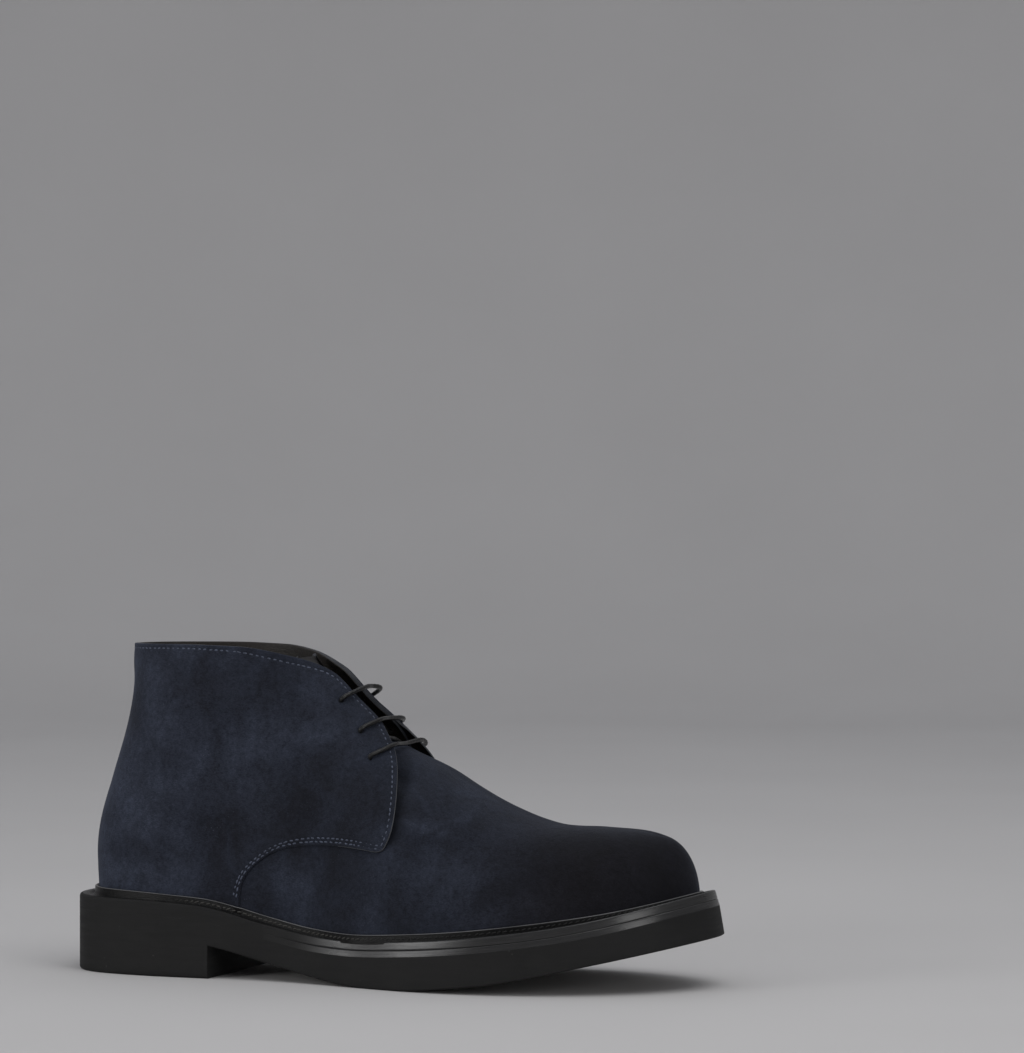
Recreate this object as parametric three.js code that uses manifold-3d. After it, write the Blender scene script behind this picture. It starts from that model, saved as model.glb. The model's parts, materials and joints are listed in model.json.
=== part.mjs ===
// A right chukka boot, men's size EU 42: storm-welted rubber sole with its heel in one piece,
// a hollow two-part suede upper with three punched holes a side, a leather tongue and a waxed lace.
// Millimetres. X runs from the back of the heel to the toe, -Y is the outer side, +Z is up.

import * as THREE from "three";
import { mergeVertices } from "three/addons/utils/BufferGeometryUtils.js";
import Module from "manifold-3d";

const wasm = await Module();
wasm.setup();

// ---------------------------------------------------------------- driving sizes

const WALL = 1.6; // suede and lining of the vamp
const OVERLAY = 1.0; // how far the quarters stand proud of the vamp
const GAP = 0.3; // between pieces that meet
const WELT = 3.6;
const MIDSOLE = 2.6;
const INSOLE = 3.0;
const RIB_HEIGHT = 3.0; // the storm welt's raised edge, above the welt
const RIB_WIDTH = 1.8;
const BREAST_X = 77; // front face of the heel
const HEEL_JOIN = 20; // height to which the heel block runs up into the sole
const TOE_LEAN = 3.5; // how far the sole's top edge lies behind its bottom edge at the toe
const TOE_LEAN_START = 230;
const HOLE_DIAMETER = 3.6;
const LACE_DIAMETER = 2.1;
const TONGUE = 1.8;
const ROOM_ABOVE = 150; // taller than the shaft
const RIB_STEPS = 3; // points between two neighbouring stations
const LEVELS = 11; // points up a rib

// The sole's outline: x and the half widths of the outer and inner side.
const SOLE = [
  { x: 0, outer: 0, inner: 0 },
  { x: 4, outer: 19, inner: 18 },
  { x: 18, outer: 32, inner: 31 },
  { x: 45, outer: 38, inner: 36 },
  { x: 78, outer: 39, inner: 35 },
  { x: 112, outer: 40, inner: 32.5 },
  { x: 146, outer: 47, inner: 38 },
  { x: 180, outer: 55, inner: 48 },
  { x: 212, outer: 56.5, inner: 54.5 },
  { x: 243, outer: 51, inner: 54 },
  { x: 269, outer: 40, inner: 46 },
  { x: 288, outer: 25, inner: 34 },
  { x: 299, outer: 9, inner: 19 },
  { x: 302, outer: -5, inner: 5 },
];

// The welt's upper face along the foot: heel seat, arch and toe spring.
const SOLE_TOP = [
  { x: 0, z: 34.5 },
  { x: 55, z: 33.4 },
  { x: 75, z: 31.9 },
  { x: 106, z: 24.9 },
  { x: 125, z: 21.5 },
  { x: 145, z: 20.1 },
  { x: 175, z: 21.4 },
  { x: 213, z: 24.9 },
  { x: 261, z: 32.3 },
  { x: 302, z: 42.2 },
];

// The tread in front of the heel: it lies flat on the ground from 152 to 172.
const TREAD = [
  { x: 0, z: 14.5 },
  { x: 77, z: 14.5 },
  { x: 110, z: 7 },
  { x: 138, z: 1.6 },
  { x: 152, z: 0 },
  { x: 172, z: 0 },
  { x: 192, z: 1.6 },
  { x: 213, z: 4 },
  { x: 261, z: 13.6 },
  { x: 302, z: 22.8 },
];

// The last, as ribs that rise from the welt to the top edge or to the instep's ridge. A row holds
// the rib's foot (x, outer and inner half width), its top (topX, topZ, half width of the shaft's
// top), the roundness of its arch, and 1 where it follows the heel's curve instead of an arch.
const RIBS = [
  { x: 10, outer: 0, inner: 0, topX: 27, topZ: 149, topHalf: 0, low: 1.0, high: 1.0, heel: 1 },
  { x: 13, outer: 15, inner: 14, topX: 30, topZ: 149, topHalf: 13, low: 1.0, high: 1.0, heel: 1 },
  { x: 24, outer: 27, inner: 26, topX: 40, topZ: 149, topHalf: 23, low: 1.0, high: 1.0, heel: 1 },
  { x: 46, outer: 32, inner: 30, topX: 59, topZ: 149, topHalf: 28.5, low: 1.0, high: 1.0, heel: 1 },
  { x: 75, outer: 32, inner: 29, topX: 82, topZ: 149, topHalf: 28.5, low: 1.1, high: 1.1, heel: 0.9 },
  { x: 105, outer: 33, inner: 26, topX: 105, topZ: 149, topHalf: 21.5, low: 1.3, high: 1.2, heel: 0.5 },
  { x: 130, outer: 38, inner: 30, topX: 119, topZ: 143, topHalf: 8, low: 1.6, high: 1.5, heel: 0.1 },
  { x: 152, outer: 46, inner: 37, topX: 137, topZ: 124, topHalf: 0, low: 1.9, high: 1.8, heel: 0 },
  { x: 174, outer: 50, inner: 44, topX: 164, topZ: 101, topHalf: 0, low: 2.1, high: 2.0, heel: 0 },
  { x: 200, outer: 51, inner: 49, topX: 195, topZ: 81.5, topHalf: 0, low: 2.2, high: 2.1, heel: 0 },
  { x: 228, outer: 47, inner: 49, topX: 223, topZ: 70.5, topHalf: 0, low: 2.3, high: 2.2, heel: 0 },
  { x: 253, outer: 38, inner: 44, topX: 247, topZ: 69, topHalf: 0, low: 2.5, high: 2.3, heel: 0 },
  { x: 274, outer: 26, inner: 34, topX: 262, topZ: 68.2, topHalf: 0, low: 2.5, high: 2.3, heel: 0 },
  { x: 286, outer: 12, inner: 21, topX: 270, topZ: 66.8, topHalf: 0, low: 2.3, high: 2.2, heel: 0 },
  { x: 292, outer: -4, inner: 4, topX: 274, topZ: 65.8, topHalf: 0, low: 2.2, high: 2.1, heel: 0 },
];

// The ridge of the instep and toe lies a little to the inner side.
const RIDGE = [
  { x: 100, y: 0 },
  { x: 150, y: 3 },
  { x: 245, y: 3 },
  { x: 290, y: 4 },
];

const HEEL_EASE = { start: 0.17, span: 0.72 }; // where the heel's curve leans forward
const SWELL = { size: 1.0, start: 0.05, span: 0.4, centreX: 60 }; // fullness of the heel cup

// The quarters seen from the side: top edge and facing from the back to the corner.
const TOPLINE = [
  { x: -20, z: 148.6 },
  { x: 66, z: 148.4 },
  { x: 90, z: 147.5 },
  { x: 104, z: 144.6 },
  { x: 115, z: 141 },
  { x: 123, z: 137 },
  { x: 131, z: 131.3 },
  { x: 139, z: 123.4 },
  { x: 147, z: 115 },
  { x: 152, z: 109 },
];
const FACING = [
  { x: 159, z: 100.5 },
  { x: 163, z: 91.5 },
  { x: 165.5, z: 81 },
  { x: 166.3, z: 72 },
  { x: 165.8, z: 65 },
  { x: 164, z: 58.3 },
];
// The two facings stand apart by at least this slot.
const SLOT = { from: -7.2, to: 9.2, endX: 157, lowZ: 96 };

// The quarters' lower seam, from the corner back and down to the welt.
const SEAM = [
  { x: 153, z: 59.5 },
  { x: 144, z: 60.3 },
  { x: 133, z: 60.5 },
  { x: 122, z: 60 },
  { x: 112, z: 58.5 },
  { x: 105, z: 56 },
  { x: 99.5, z: 52.4 },
  { x: 95, z: 48.5 },
  { x: 92, z: 44.5 },
  { x: 90.3, z: 39.7 },
  { x: 89.7, z: 34 },
  { x: 89.7, z: 10 },
  { x: -20, z: 10 },
];

// Where the vamp sinks between the facings: how deep, from which rib on and how high up a rib.
const DIP = { depth: 6.5, endRib: 8.45, ribs: 1.1, start: 0.74, span: 0.14 };

// The vamp runs under the quarters as far back as this line, and its throat ends at the last x.
const VAMP_ZONE = [
  { x: 80, z: 10 },
  { x: 84, z: 45 },
  { x: 104, z: 66 },
  { x: 132, z: 74 },
  { x: 146, z: 88 },
  { x: 152.5, z: 98 },
  { x: 152.5, z: 180 },
  { x: 320, z: 180 },
  { x: 320, z: 10 },
];

// Lace holes seen from the side, from the top down.
const HOLES = [
  { x: 131.5, z: 123 },
  { x: 143, z: 109.6 },
  { x: 150.3, z: 98.4 },
];

// The lace's bars outside, from the top down: over the outer facing, mid-gap, over the inner one.
const BARS = [
  [
    [138.3, -7, 128.8],
    [138.9, 2, 129.6],
    [139.9, 11, 128.4],
  ],
  [
    [148.8, -13.5, 114.9],
    [148.3, 0, 115.4],
    [148.9, 16.5, 114.4],
  ],
  [
    [155.2, -23.8, 102.5],
    [157.6, -18, 104.9],
    [156.8, 0, 104.3],
    [157.9, 17.2, 105],
    [157, 23, 102.9],
  ],
];

// Its slopes inside, from a hole of the outer side down to the next hole of the inner side.
const SLOPES = [
  [
    [135.5, -4, 118.6],
    [139.2, 7, 114.8],
  ],
  [
    [149.9, -9.5, 107.3],
    [150.3, 8, 104.4],
  ],
];

// The tongue: how far down the ridge, in ribs, how far it reaches to each side, how deep it lies.
const TONGUE_ROWS = [
  { rib: 5.6, reach: 0.74, depth: 7.0 },
  { rib: 6.0, reach: 0.76, depth: 7.4 },
  { rib: 6.5, reach: 0.77, depth: 7.6 },
  { rib: 7.0, reach: 0.78, depth: 7.8 },
  { rib: 7.4, reach: 0.79, depth: 9.0 },
  { rib: 7.75, reach: 0.8, depth: 7.6 },
  { rib: 8.1, reach: 0.81, depth: 4.4 },
];

// ---------------------------------------------------------------- curves and solids

const smooth = (t) => {
  const c = Math.min(1, Math.max(0, t));
  return c * c * (3 - 2 * c);
};

// A smooth curve through the rows of a table, read at x.
function along(rows, x, key) {
  const last = rows.length - 1;
  const at = Math.min(rows[last].x, Math.max(rows[0].x, x));
  const slope = (i) => (rows[i + 1][key] - rows[i][key]) / (rows[i + 1].x - rows[i].x);
  const span = (i) => rows[i + 1].x - rows[i].x;
  const tangent = (i) => {
    if (i === 0) return slope(0);
    if (i === last) return slope(last - 1);
    return (slope(i - 1) * span(i) + slope(i) * span(i - 1)) / (span(i - 1) + span(i));
  };
  let i = 0;
  while (i < last - 1 && at >= rows[i + 1].x) i++;
  const h = span(i);
  const t = (at - rows[i].x) / h;
  return (
    (1 + 2 * t) * (1 - t) ** 2 * rows[i][key] +
    t * (1 - t) ** 2 * h * tangent(i) +
    t * t * (3 - 2 * t) * rows[i + 1][key] +
    t * t * (t - 1) * h * tangent(i + 1)
  );
}

// The rows of one side and then the other, so that they run once round the foot from the heel.
function roundTheFoot(rows, makeRow) {
  const outer = rows.map((row) => makeRow(row, -1));
  const inner = rows.slice(1, -1).map((row) => makeRow(row, 1));
  return [...outer, ...inner.reverse()];
}

// A closed smooth curve through rows of numbers, read at t = 0 to the number of rows.
function readRing(rows, t) {
  const n = rows.length;
  const turn = ((t % n) + n) % n;
  const i = Math.floor(turn);
  const f = turn - i;
  const [a, b, c, d] = [-1, 0, 1, 2].map((k) => rows[(i + k + n) % n]);
  return b.map(
    (value, k) =>
      0.5 *
      (2 * value +
        (c[k] - a[k]) * f +
        (2 * a[k] - 5 * value + 4 * c[k] - d[k]) * f * f +
        (3 * value - a[k] - 3 * c[k] + d[k]) * f ** 3),
  );
}

const ribRing = roundTheFoot(RIBS, (row, side) => [
  row.x,
  side * (side < 0 ? row.outer : row.inner),
  row.topX,
  row.topZ,
  side * row.topHalf,
  row.low,
  row.high,
  row.heel,
]);
const soleRing = roundTheFoot(SOLE, (row, side) => [row.x, side * (side < 0 ? row.outer : row.inner)]);
const RING = ribRing.length;

const isOuter = (t) => ((t % RING) + RING) % RING <= RING / 2;

// How far a rib's top lies from the ridge, which it reaches in front of the shaft.
function topHalf(t) {
  const raw = readRing(ribRing, t)[4];
  const half = isOuter(t) ? Math.min(0, raw) : Math.max(0, raw);
  return Math.abs(half) < 0.2 && Math.min(t, RING - t) > 5 ? 0 : half;
}

// A point of the last's surface: t runs round the foot in ribs, v from the welt (0) to the top (1).
function lastPoint(t, v) {
  const [x, y, topX, topZ, , low, high, heel] = readRing(ribRing, t);
  const topY = along(RIDGE, topX, "y") + topHalf(t);
  const foot = along(SOLE_TOP, x, "z") - WELT;
  const arch = 1 - (1 - v ** Math.max(1, low)) ** (1 / Math.max(1, high));
  const back = smooth((v - HEEL_EASE.start) / HEEL_EASE.span);
  const weight = Math.min(1, Math.max(0, heel));
  const lean = weight * back + (1 - weight) * arch;
  const rise = Math.min(1, Math.max(0, (v - SWELL.start) / SWELL.span));
  const swell = (SWELL.size * weight * Math.sin(Math.PI * rise)) / Math.hypot(x - SWELL.centreX, y);
  return new THREE.Vector3(
    x + (topX - x) * lean + swell * (x - SWELL.centreX),
    y + (topY - y) * lean + swell * y,
    foot + (topZ - foot) * v,
  );
}

// The surface's outward direction; on the ridge, where both sides meet, the mean of the two.
function lastNormal(t, v) {
  const step = 1e-3;
  const one = (s) => {
    const across = lastPoint(s + step, v).sub(lastPoint(s - step, v));
    const up = lastPoint(s, Math.min(1, v + step)).sub(lastPoint(s, Math.max(0, v - step)));
    return across.cross(up).normalize();
  };
  const normal = one(t);
  if (v === 1 && topHalf(t) === 0) normal.add(one(RING - t)).normalize();
  return normal;
}

const onLast = (t, v, offset) => lastPoint(t, v).addScaledVector(lastNormal(t, v), offset);

// How far the vamp's surface lies below the last's surface, where it sinks between the facings.
function dip(t, v) {
  const rib = Math.min(t, RING - t);
  return DIP.depth * smooth((DIP.endRib - rib) / DIP.ribs) * smooth((v - DIP.start) / DIP.span);
}

// A manifold solid from points and triangles, with points that coincide made one.
function solid(points, triangles) {
  const geometry = new THREE.BufferGeometry();
  const flat = new Float32Array(points.length * 3);
  points.forEach((p, i) => flat.set([p.x, p.y, p.z], i * 3));
  geometry.setAttribute("position", new THREE.BufferAttribute(flat, 3));
  geometry.setIndex(triangles.flat());
  return solidOf(geometry);
}

function solidOf(geometry) {
  const bare = geometry.clone();
  bare.deleteAttribute("normal");
  bare.deleteAttribute("uv");
  const merged = mergeVertices(bare, 1e-4);
  const index = merged.index.array;
  const kept = [];
  for (let i = 0; i < index.length; i += 3) {
    const [a, b, c] = index.slice(i, i + 3);
    if (a !== b && b !== c && c !== a) kept.push(a, b, c);
  }
  const mesh = new wasm.Mesh({
    numProp: 3,
    vertProperties: new Float32Array(merged.attributes.position.array),
    triVerts: new Uint32Array(kept),
  });
  return new wasm.Manifold(mesh);
}

// A closed solid through rings of points, from the bottom up. Each end is closed by strips that
// join point i to point n - i, so an end that is folded onto itself needs none.
function loft(rings) {
  const n = rings[0].length;
  const triangles = [];
  const quad = (a, b, c, d) => triangles.push([a, b, c], [a, c, d]);
  for (let j = 0; j + 1 < rings.length; j++) {
    for (let i = 0; i < n; i++) {
      const next = (i + 1) % n;
      quad(j * n + i, j * n + next, (j + 1) * n + next, (j + 1) * n + i);
    }
  }
  const top = (rings.length - 1) * n;
  for (let i = 0; i < n / 2; i++) {
    const across = [i, i + 1, n - i - 1, (n - i) % n];
    const [a, b, c, d] = across;
    quad(d, c, b, a);
    quad(top + a, top + b, top + c, top + d);
  }
  return solid(rings.flat(), triangles);
}

// The space inside the last's surface moved out by offset, lengthened downwards; where it is
// sunk, it has the vamp's dip between the facings.
function lastSolid(offset, down, sunk = 0) {
  const turns = Array.from({ length: RING * RIB_STEPS }, (_, i) => i / RIB_STEPS);
  const rings = [];
  for (let j = 0; j <= LEVELS; j++) {
    const v = j === LEVELS ? 1 : Math.sin((j / LEVELS) * (Math.PI / 2));
    rings.push(turns.map((t) => onLast(t, v, offset - sunk * dip(t, v))));
  }
  const foot = rings[0].map((p) => new THREE.Vector3(p.x, p.y, p.z - down));
  return loft([foot, ...rings]);
}

// A layer of the sole between two depths below the welt's upper face; Infinity is the tread.
function layer(from, to) {
  const turns = Array.from({ length: soleRing.length * RIB_STEPS }, (_, i) => i / RIB_STEPS);
  const top = turns.map((t) => {
    const [x, y] = readRing(soleRing, t);
    return new THREE.Vector3(x, y, along(SOLE_TOP, x, "z"));
  });
  const bottom = top.map((p) => new THREE.Vector3(p.x, p.y, Math.max(0, along(TREAD, p.x, "z"))));
  const ring = (depth) =>
    top.map((p, i) => {
      const thick = p.z - bottom[i].z;
      const down = depth === Infinity ? 1 : depth / thick;
      const lean = TOE_LEAN * smooth((p.x - TOE_LEAN_START) / (SOLE.at(-1).x - TOE_LEAN_START));
      return new THREE.Vector3(p.x - lean * (1 - Math.max(0, down)), p.y, p.z - thick * down);
    });
  return loft([ring(to), ring(from)]);
}

// The part of the boot whose side view lies inside an outline, which may be moved forward.
function sideCut(outline, forward = 0) {
  const shape = new THREE.Shape(outline.map((p) => new THREE.Vector2(p.x, p.z)));
  const width = 160;
  const geometry = new THREE.ExtrudeGeometry(shape, { depth: width, bevelEnabled: false });
  geometry.rotateX(Math.PI / 2);
  geometry.translate(forward, width / 2, 0);
  return solidOf(geometry);
}

// The place of a side view's x and z on the outer (-1) or inner (1) side: rib and height.
function findOnLast(x, z, side) {
  let rib = 8;
  let v = 0.8;
  for (let pass = 0; pass < 40; pass++) {
    const turn = (r) => (side < 0 ? r : RING - r);
    const here = lastPoint(turn(rib), v);
    const along1 = lastPoint(turn(rib + 1e-3), v).sub(here).multiplyScalar(1e3);
    const up = lastPoint(turn(rib), v - 1e-3).sub(here).multiplyScalar(-1e3);
    const [dx, dz] = [x - here.x, z - here.z];
    const det = along1.x * up.z - up.x * along1.z;
    rib += Math.min(0.5, Math.max(-0.5, (dx * up.z - up.x * dz) / det));
    v += Math.min(0.1, Math.max(-0.1, (along1.x * dz - dx * along1.z) / det));
    v = Math.min(0.99, Math.max(0.01, v));
  }
  return { t: side < 0 ? rib : RING - rib, v };
}

// ---------------------------------------------------------------- the pieces

function outsole() {
  const body = layer(WELT + MIDSOLE + 2 * GAP, Infinity);
  const seat = [];
  for (const z of [0, HEEL_JOIN]) {
    const ring = Array.from({ length: soleRing.length * RIB_STEPS }, (_, i) => {
      const [x, y] = readRing(soleRing, i / RIB_STEPS);
      return new THREE.Vector3(x, y, z);
    });
    seat.push(ring);
  }
  const behindBreast = sideCut([
    { x: -10, z: -10 },
    { x: BREAST_X, z: -10 },
    { x: BREAST_X, z: 60 },
    { x: -10, z: 60 },
  ]);
  return body.add(loft(seat).intersect(behindBreast));
}

function midsole() {
  return layer(WELT + GAP, WELT + GAP + MIDSOLE);
}

const quarterOutline = [...TOPLINE, ...FACING, ...SEAM];
const aboveTopline = [...TOPLINE, { x: 170, z: 180 }, { x: -20, z: 180 }];

function welt() {
  const flange = layer(0, WELT);
  const ribTop = layer(-RIB_HEIGHT, WELT);
  const quarterZone = sideCut(quarterOutline, GAP);
  const rib = lastSolid(GAP + RIB_WIDTH, GAP)
    .add(lastSolid(GAP + OVERLAY + RIB_WIDTH, GAP).intersect(quarterZone))
    .intersect(ribTop);
  const foot = lastSolid(GAP, 2).add(lastSolid(GAP + OVERLAY, 2).intersect(quarterZone));
  return flange.add(rib).subtract(foot);
}

function insole() {
  return lastSolid(-WALL - GAP, 0).intersect(layer(WELT - INSOLE, WELT));
}

// One hollow shell: the vamp, and the quarters that lap over it, stand proud of it and stand off
// where it sinks between them.
function upper() {
  const vamp = lastSolid(0, 1, 1)
    .subtract(lastSolid(-WALL, 5, 1))
    .intersect(sideCut(VAMP_ZONE));
  const quarters = lastSolid(OVERLAY, 1)
    .subtract(lastSolid(-WALL, 5))
    .intersect(sideCut(quarterOutline));
  const slot = new THREE.BoxGeometry(60, SLOT.to - SLOT.from, 80);
  slot.translate(SLOT.endX - 30, (SLOT.from + SLOT.to) / 2, SLOT.lowZ + 40);
  const cut = sideCut(aboveTopline).add(solidOf(slot));
  let shell = vamp.add(quarters.subtract(cut));
  shell = shell.intersect(layer(-ROOM_ABOVE, WELT));
  for (const side of [-1, 1]) {
    for (const hole of HOLES) {
      const { t, v } = findOnLast(hole.x, hole.z, side);
      const drill = new THREE.CylinderGeometry(HOLE_DIAMETER / 2, HOLE_DIAMETER / 2, 12, 12);
      const turn = new THREE.Quaternion();
      turn.setFromUnitVectors(new THREE.Vector3(0, 1, 0), lastNormal(t, v));
      drill.applyQuaternion(turn);
      drill.translate(...lastPoint(t, v));
      shell = shell.subtract(solidOf(drill));
    }
  }
  return shell;
}

// A curved strip across the instep: it dips under the facings and is fixed under the vamp.
function tongue() {
  const across = 10;
  const rows = [0, TONGUE].map((thickness) =>
    TONGUE_ROWS.map((row) => {
      const line = [];
      for (const side of [-1, 1]) {
        for (let k = 0; k <= across; k++) {
          const step = side < 0 ? k : across - k;
          const v = row.reach + (1 - row.reach) * Math.sin((step / across) * (Math.PI / 2));
          const t = side < 0 ? row.rib : RING - row.rib;
          line.push(onLast(t, step === across ? 1 : v, -row.depth - thickness));
        }
      }
      return line;
    }),
  );
  return slab(rows[0], rows[1]);
}

// A closed sheet between an outer and an inner grid of points.
function slab(outer, inner) {
  const rows = outer.length;
  const columns = outer[0].length;
  const points = [...outer.flat(), ...inner.flat()];
  const base = rows * columns;
  const triangles = [];
  const quad = (a, b, c, d) => triangles.push([a, b, c], [a, c, d]);
  for (let j = 0; j + 1 < rows; j++) {
    for (let i = 0; i + 1 < columns; i++) {
      const a = j * columns + i;
      quad(a, a + columns, a + columns + 1, a + 1);
      quad(base + a, base + a + 1, base + a + columns + 1, base + a + columns);
    }
    const left = j * columns;
    const right = left + columns - 1;
    quad(left, base + left, base + left + columns, left + columns);
    quad(right, right + columns, base + right + columns, base + right);
  }
  const end = (rows - 1) * columns;
  for (let i = 0; i + 1 < columns; i++) {
    quad(i, i + 1, base + i + 1, base + i);
    quad(end + i, base + end + i, base + end + i + 1, end + i + 1);
  }
  return solid(points, triangles);
}

// The lace: a bar outside at each pair of holes and a slope inside down to the next pair.
// Its two ends are tucked in behind the top holes.
function lace() {
  const through = HOLES.map((row) =>
    [-1, 1].map((side) => {
      const { t, v } = findOnLast(row.x, row.z, side);
      return (out) => onLast(t, v, out);
    }),
  );
  const list = (rows) => rows.map((row) => new THREE.Vector3(...row));
  const [outer, inner] = [0, 1];
  const tuck = new THREE.Vector3(-4, 0, 2.5);
  const points = [through[0][inner](-3.6).add(tuck)];
  for (let row = 0; row < HOLES.length; row++) {
    const [a, b] = [through[row][inner], through[row][outer]];
    points.push(a(-3.1), a(0), a(2.7), ...list(BARS[row]).reverse(), b(2.7), b(0), b(-3.1));
    if (row + 1 < HOLES.length) points.push(...list(SLOPES[row]));
  }
  const beside = new THREE.Vector3(-5, 0, -2.5);
  points.push(through[1][outer](-3.6).add(beside), through[0][outer](-3.6).add(tuck));
  const path = new THREE.CatmullRomCurve3(points, false, "centripetal");
  const section = new THREE.Shape();
  section.absarc(0, 0, LACE_DIAMETER / 2, 0, Math.PI * 2);
  const geometry = new THREE.ExtrudeGeometry(section, {
    steps: 70,
    curveSegments: 4,
    extrudePath: path,
  });
  return solidOf(geometry);
}



// ---------------------------------------------------------------- the boot

const pieces = [
  { name: "outsole", make: outsole, colour: 0x161617, roughness: 0.72 },
  { name: "midsole", make: midsole, colour: 0x1b1b1c, roughness: 0.42 },
  { name: "welt", make: welt, colour: 0x151516, roughness: 0.38 },
  { name: "insole", make: insole, colour: 0x2a231c, roughness: 0.7 },
  { name: "upper", make: upper, colour: 0x1d2434, roughness: 0.95 },
  { name: "tongue", make: tongue, colour: 0x17161a, roughness: 0.6 },
  { name: "lace", make: lace, colour: 0x101012, roughness: 0.45 },
];

const boot = new THREE.Group();
for (const piece of pieces) {
  const made = piece.make().getMesh();
  const geometry = new THREE.BufferGeometry();
  const flat = new Float32Array(made.numVert * 3);
  for (let i = 0; i < made.numVert; i++) {
    flat.set(made.vertProperties.subarray(i * made.numProp, i * made.numProp + 3), i * 3);
  }
  geometry.setAttribute("position", new THREE.BufferAttribute(flat, 3));
  geometry.setIndex(new THREE.BufferAttribute(new Uint32Array(made.triVerts), 1));
  geometry.computeVertexNormals();
  const material = new THREE.MeshStandardMaterial({
    color: piece.colour,
    roughness: piece.roughness,
    metalness: 0,
  });
  const mesh = new THREE.Mesh(geometry, material);
  mesh.name = piece.name;
  boot.add(mesh);
}

// The origin is under the middle of the boot, on the ground.
const box = new THREE.Box3().setFromObject(boot, true);
const middle = box.getCenter(new THREE.Vector3());
boot.position.set(-middle.x, -middle.y, -box.min.z);

const part = new THREE.Group();
part.add(boot);

export default part;
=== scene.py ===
"""A right chukka boot in navy suede on a black rubber sole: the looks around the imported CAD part.

Shapes are worked out in millimetres in the boot's own axes, with X from the heel to the toe, -Y the
outer side and +Z up, and are moved to the part's frame in metres as each mesh is made.
"""
import json
import math

import bmesh
import bpy
import numpy as np
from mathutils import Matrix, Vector

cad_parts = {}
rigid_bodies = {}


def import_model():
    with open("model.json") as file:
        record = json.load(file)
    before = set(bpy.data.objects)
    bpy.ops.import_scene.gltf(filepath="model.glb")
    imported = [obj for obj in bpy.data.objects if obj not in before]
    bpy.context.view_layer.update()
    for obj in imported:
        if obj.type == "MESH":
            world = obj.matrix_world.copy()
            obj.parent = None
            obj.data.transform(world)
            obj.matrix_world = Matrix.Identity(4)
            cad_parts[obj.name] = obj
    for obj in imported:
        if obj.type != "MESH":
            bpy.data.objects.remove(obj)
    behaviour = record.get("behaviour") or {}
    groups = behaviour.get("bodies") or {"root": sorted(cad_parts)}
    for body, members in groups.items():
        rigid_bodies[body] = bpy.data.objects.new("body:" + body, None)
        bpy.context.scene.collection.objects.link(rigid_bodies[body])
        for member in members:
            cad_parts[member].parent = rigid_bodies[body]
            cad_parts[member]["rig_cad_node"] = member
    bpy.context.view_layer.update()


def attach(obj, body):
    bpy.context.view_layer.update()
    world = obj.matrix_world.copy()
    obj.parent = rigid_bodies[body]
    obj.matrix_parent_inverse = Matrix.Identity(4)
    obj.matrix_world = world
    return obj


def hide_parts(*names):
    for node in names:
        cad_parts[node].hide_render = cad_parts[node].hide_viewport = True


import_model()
scene = bpy.context.scene

ORIGIN = np.array([-151.0, 0.8148, 0.0])  # from the boot's own axes to the part's frame, mm

# ------------------------------------------------------------------ sizes, as in the CAD part

WALL = 1.6
OVERLAY = 1.0
WELT = 3.6
MIDSOLE = 2.6
GAP = 0.3
RIB_HEIGHT = 3.0
RIB_WIDTH = 1.8
BREAST_X = 77.0
TREAD_DEPTH = 0.9
TREAD_PITCH = 7.5
EDGE_ROUND = 0.9  # radius of the outsole's lower edge
HEEL_ROUND = 1.2
TOE_LEAN = 3.5
TOE_LEAN_START = 230.0
HOLE = 3.6
LACE = 2.1
TONGUE = 1.8

SOLE = [(0, 0, 0), (4, 19, 18), (18, 32, 31), (45, 38, 36), (78, 39, 35), (112, 40, 32.5),
        (146, 47, 38), (180, 55, 48), (212, 56.5, 54.5), (243, 51, 54), (269, 40, 46),
        (288, 25, 34), (299, 9, 19), (302, -5, 5)]
SOLE_LENGTH = SOLE[-1][0]
SOLE_TOP = [(0, 34.5), (55, 33.4), (75, 31.9), (106, 24.9), (125, 21.5), (145, 20.1),
            (175, 21.4), (213, 24.9), (261, 32.3), (302, 42.2)]
TREAD = [(0, 14.5), (77, 14.5), (110, 7), (138, 1.6), (152, 0), (172, 0), (192, 1.6), (213, 4),
         (261, 13.6), (302, 22.8)]
# foot x, outer and inner half width, top x, top z, half width of the top, arch low and high, heel
RIBS = [(10, 0, 0, 27, 149, 0, 1, 1, 1), (13, 15, 14, 30, 149, 13, 1, 1, 1),
        (24, 27, 26, 40, 149, 23, 1, 1, 1), (46, 32, 30, 59, 149, 28.5, 1, 1, 1),
        (75, 32, 29, 82, 149, 28.5, 1.1, 1.1, .9), (105, 33, 26, 105, 149, 21.5, 1.3, 1.2, .5),
        (130, 38, 30, 119, 143, 8, 1.6, 1.5, .1), (152, 46, 37, 137, 124, 0, 1.9, 1.8, 0),
        (174, 50, 44, 164, 101, 0, 2.1, 2, 0), (200, 51, 49, 195, 81.5, 0, 2.2, 2.1, 0),
        (228, 47, 49, 223, 70.5, 0, 2.3, 2.2, 0), (253, 38, 44, 247, 69, 0, 2.5, 2.3, 0),
        (274, 26, 34, 262, 68.2, 0, 2.5, 2.3, 0), (286, 12, 21, 270, 66.8, 0, 2.3, 2.2, 0),
        (292, -4, 4, 274, 65.8, 0, 2.2, 2.1, 0)]
RIDGE = [(100, 0), (150, 3), (245, 3), (290, 4)]
TOPLINE = [(-20, 148.6), (66, 148.4), (90, 147.5), (104, 144.6), (115, 141), (123, 137),
           (131, 131.3), (139, 123.4), (147, 115), (152, 109)]
FACING = [(164.7, 61.7), (165.8, 65), (166.3, 72), (165.5, 81), (163, 91.5), (159, 100.5)]
CORNER = (163.1, 59.7)  # where the facing meets the seam, rounded
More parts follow.
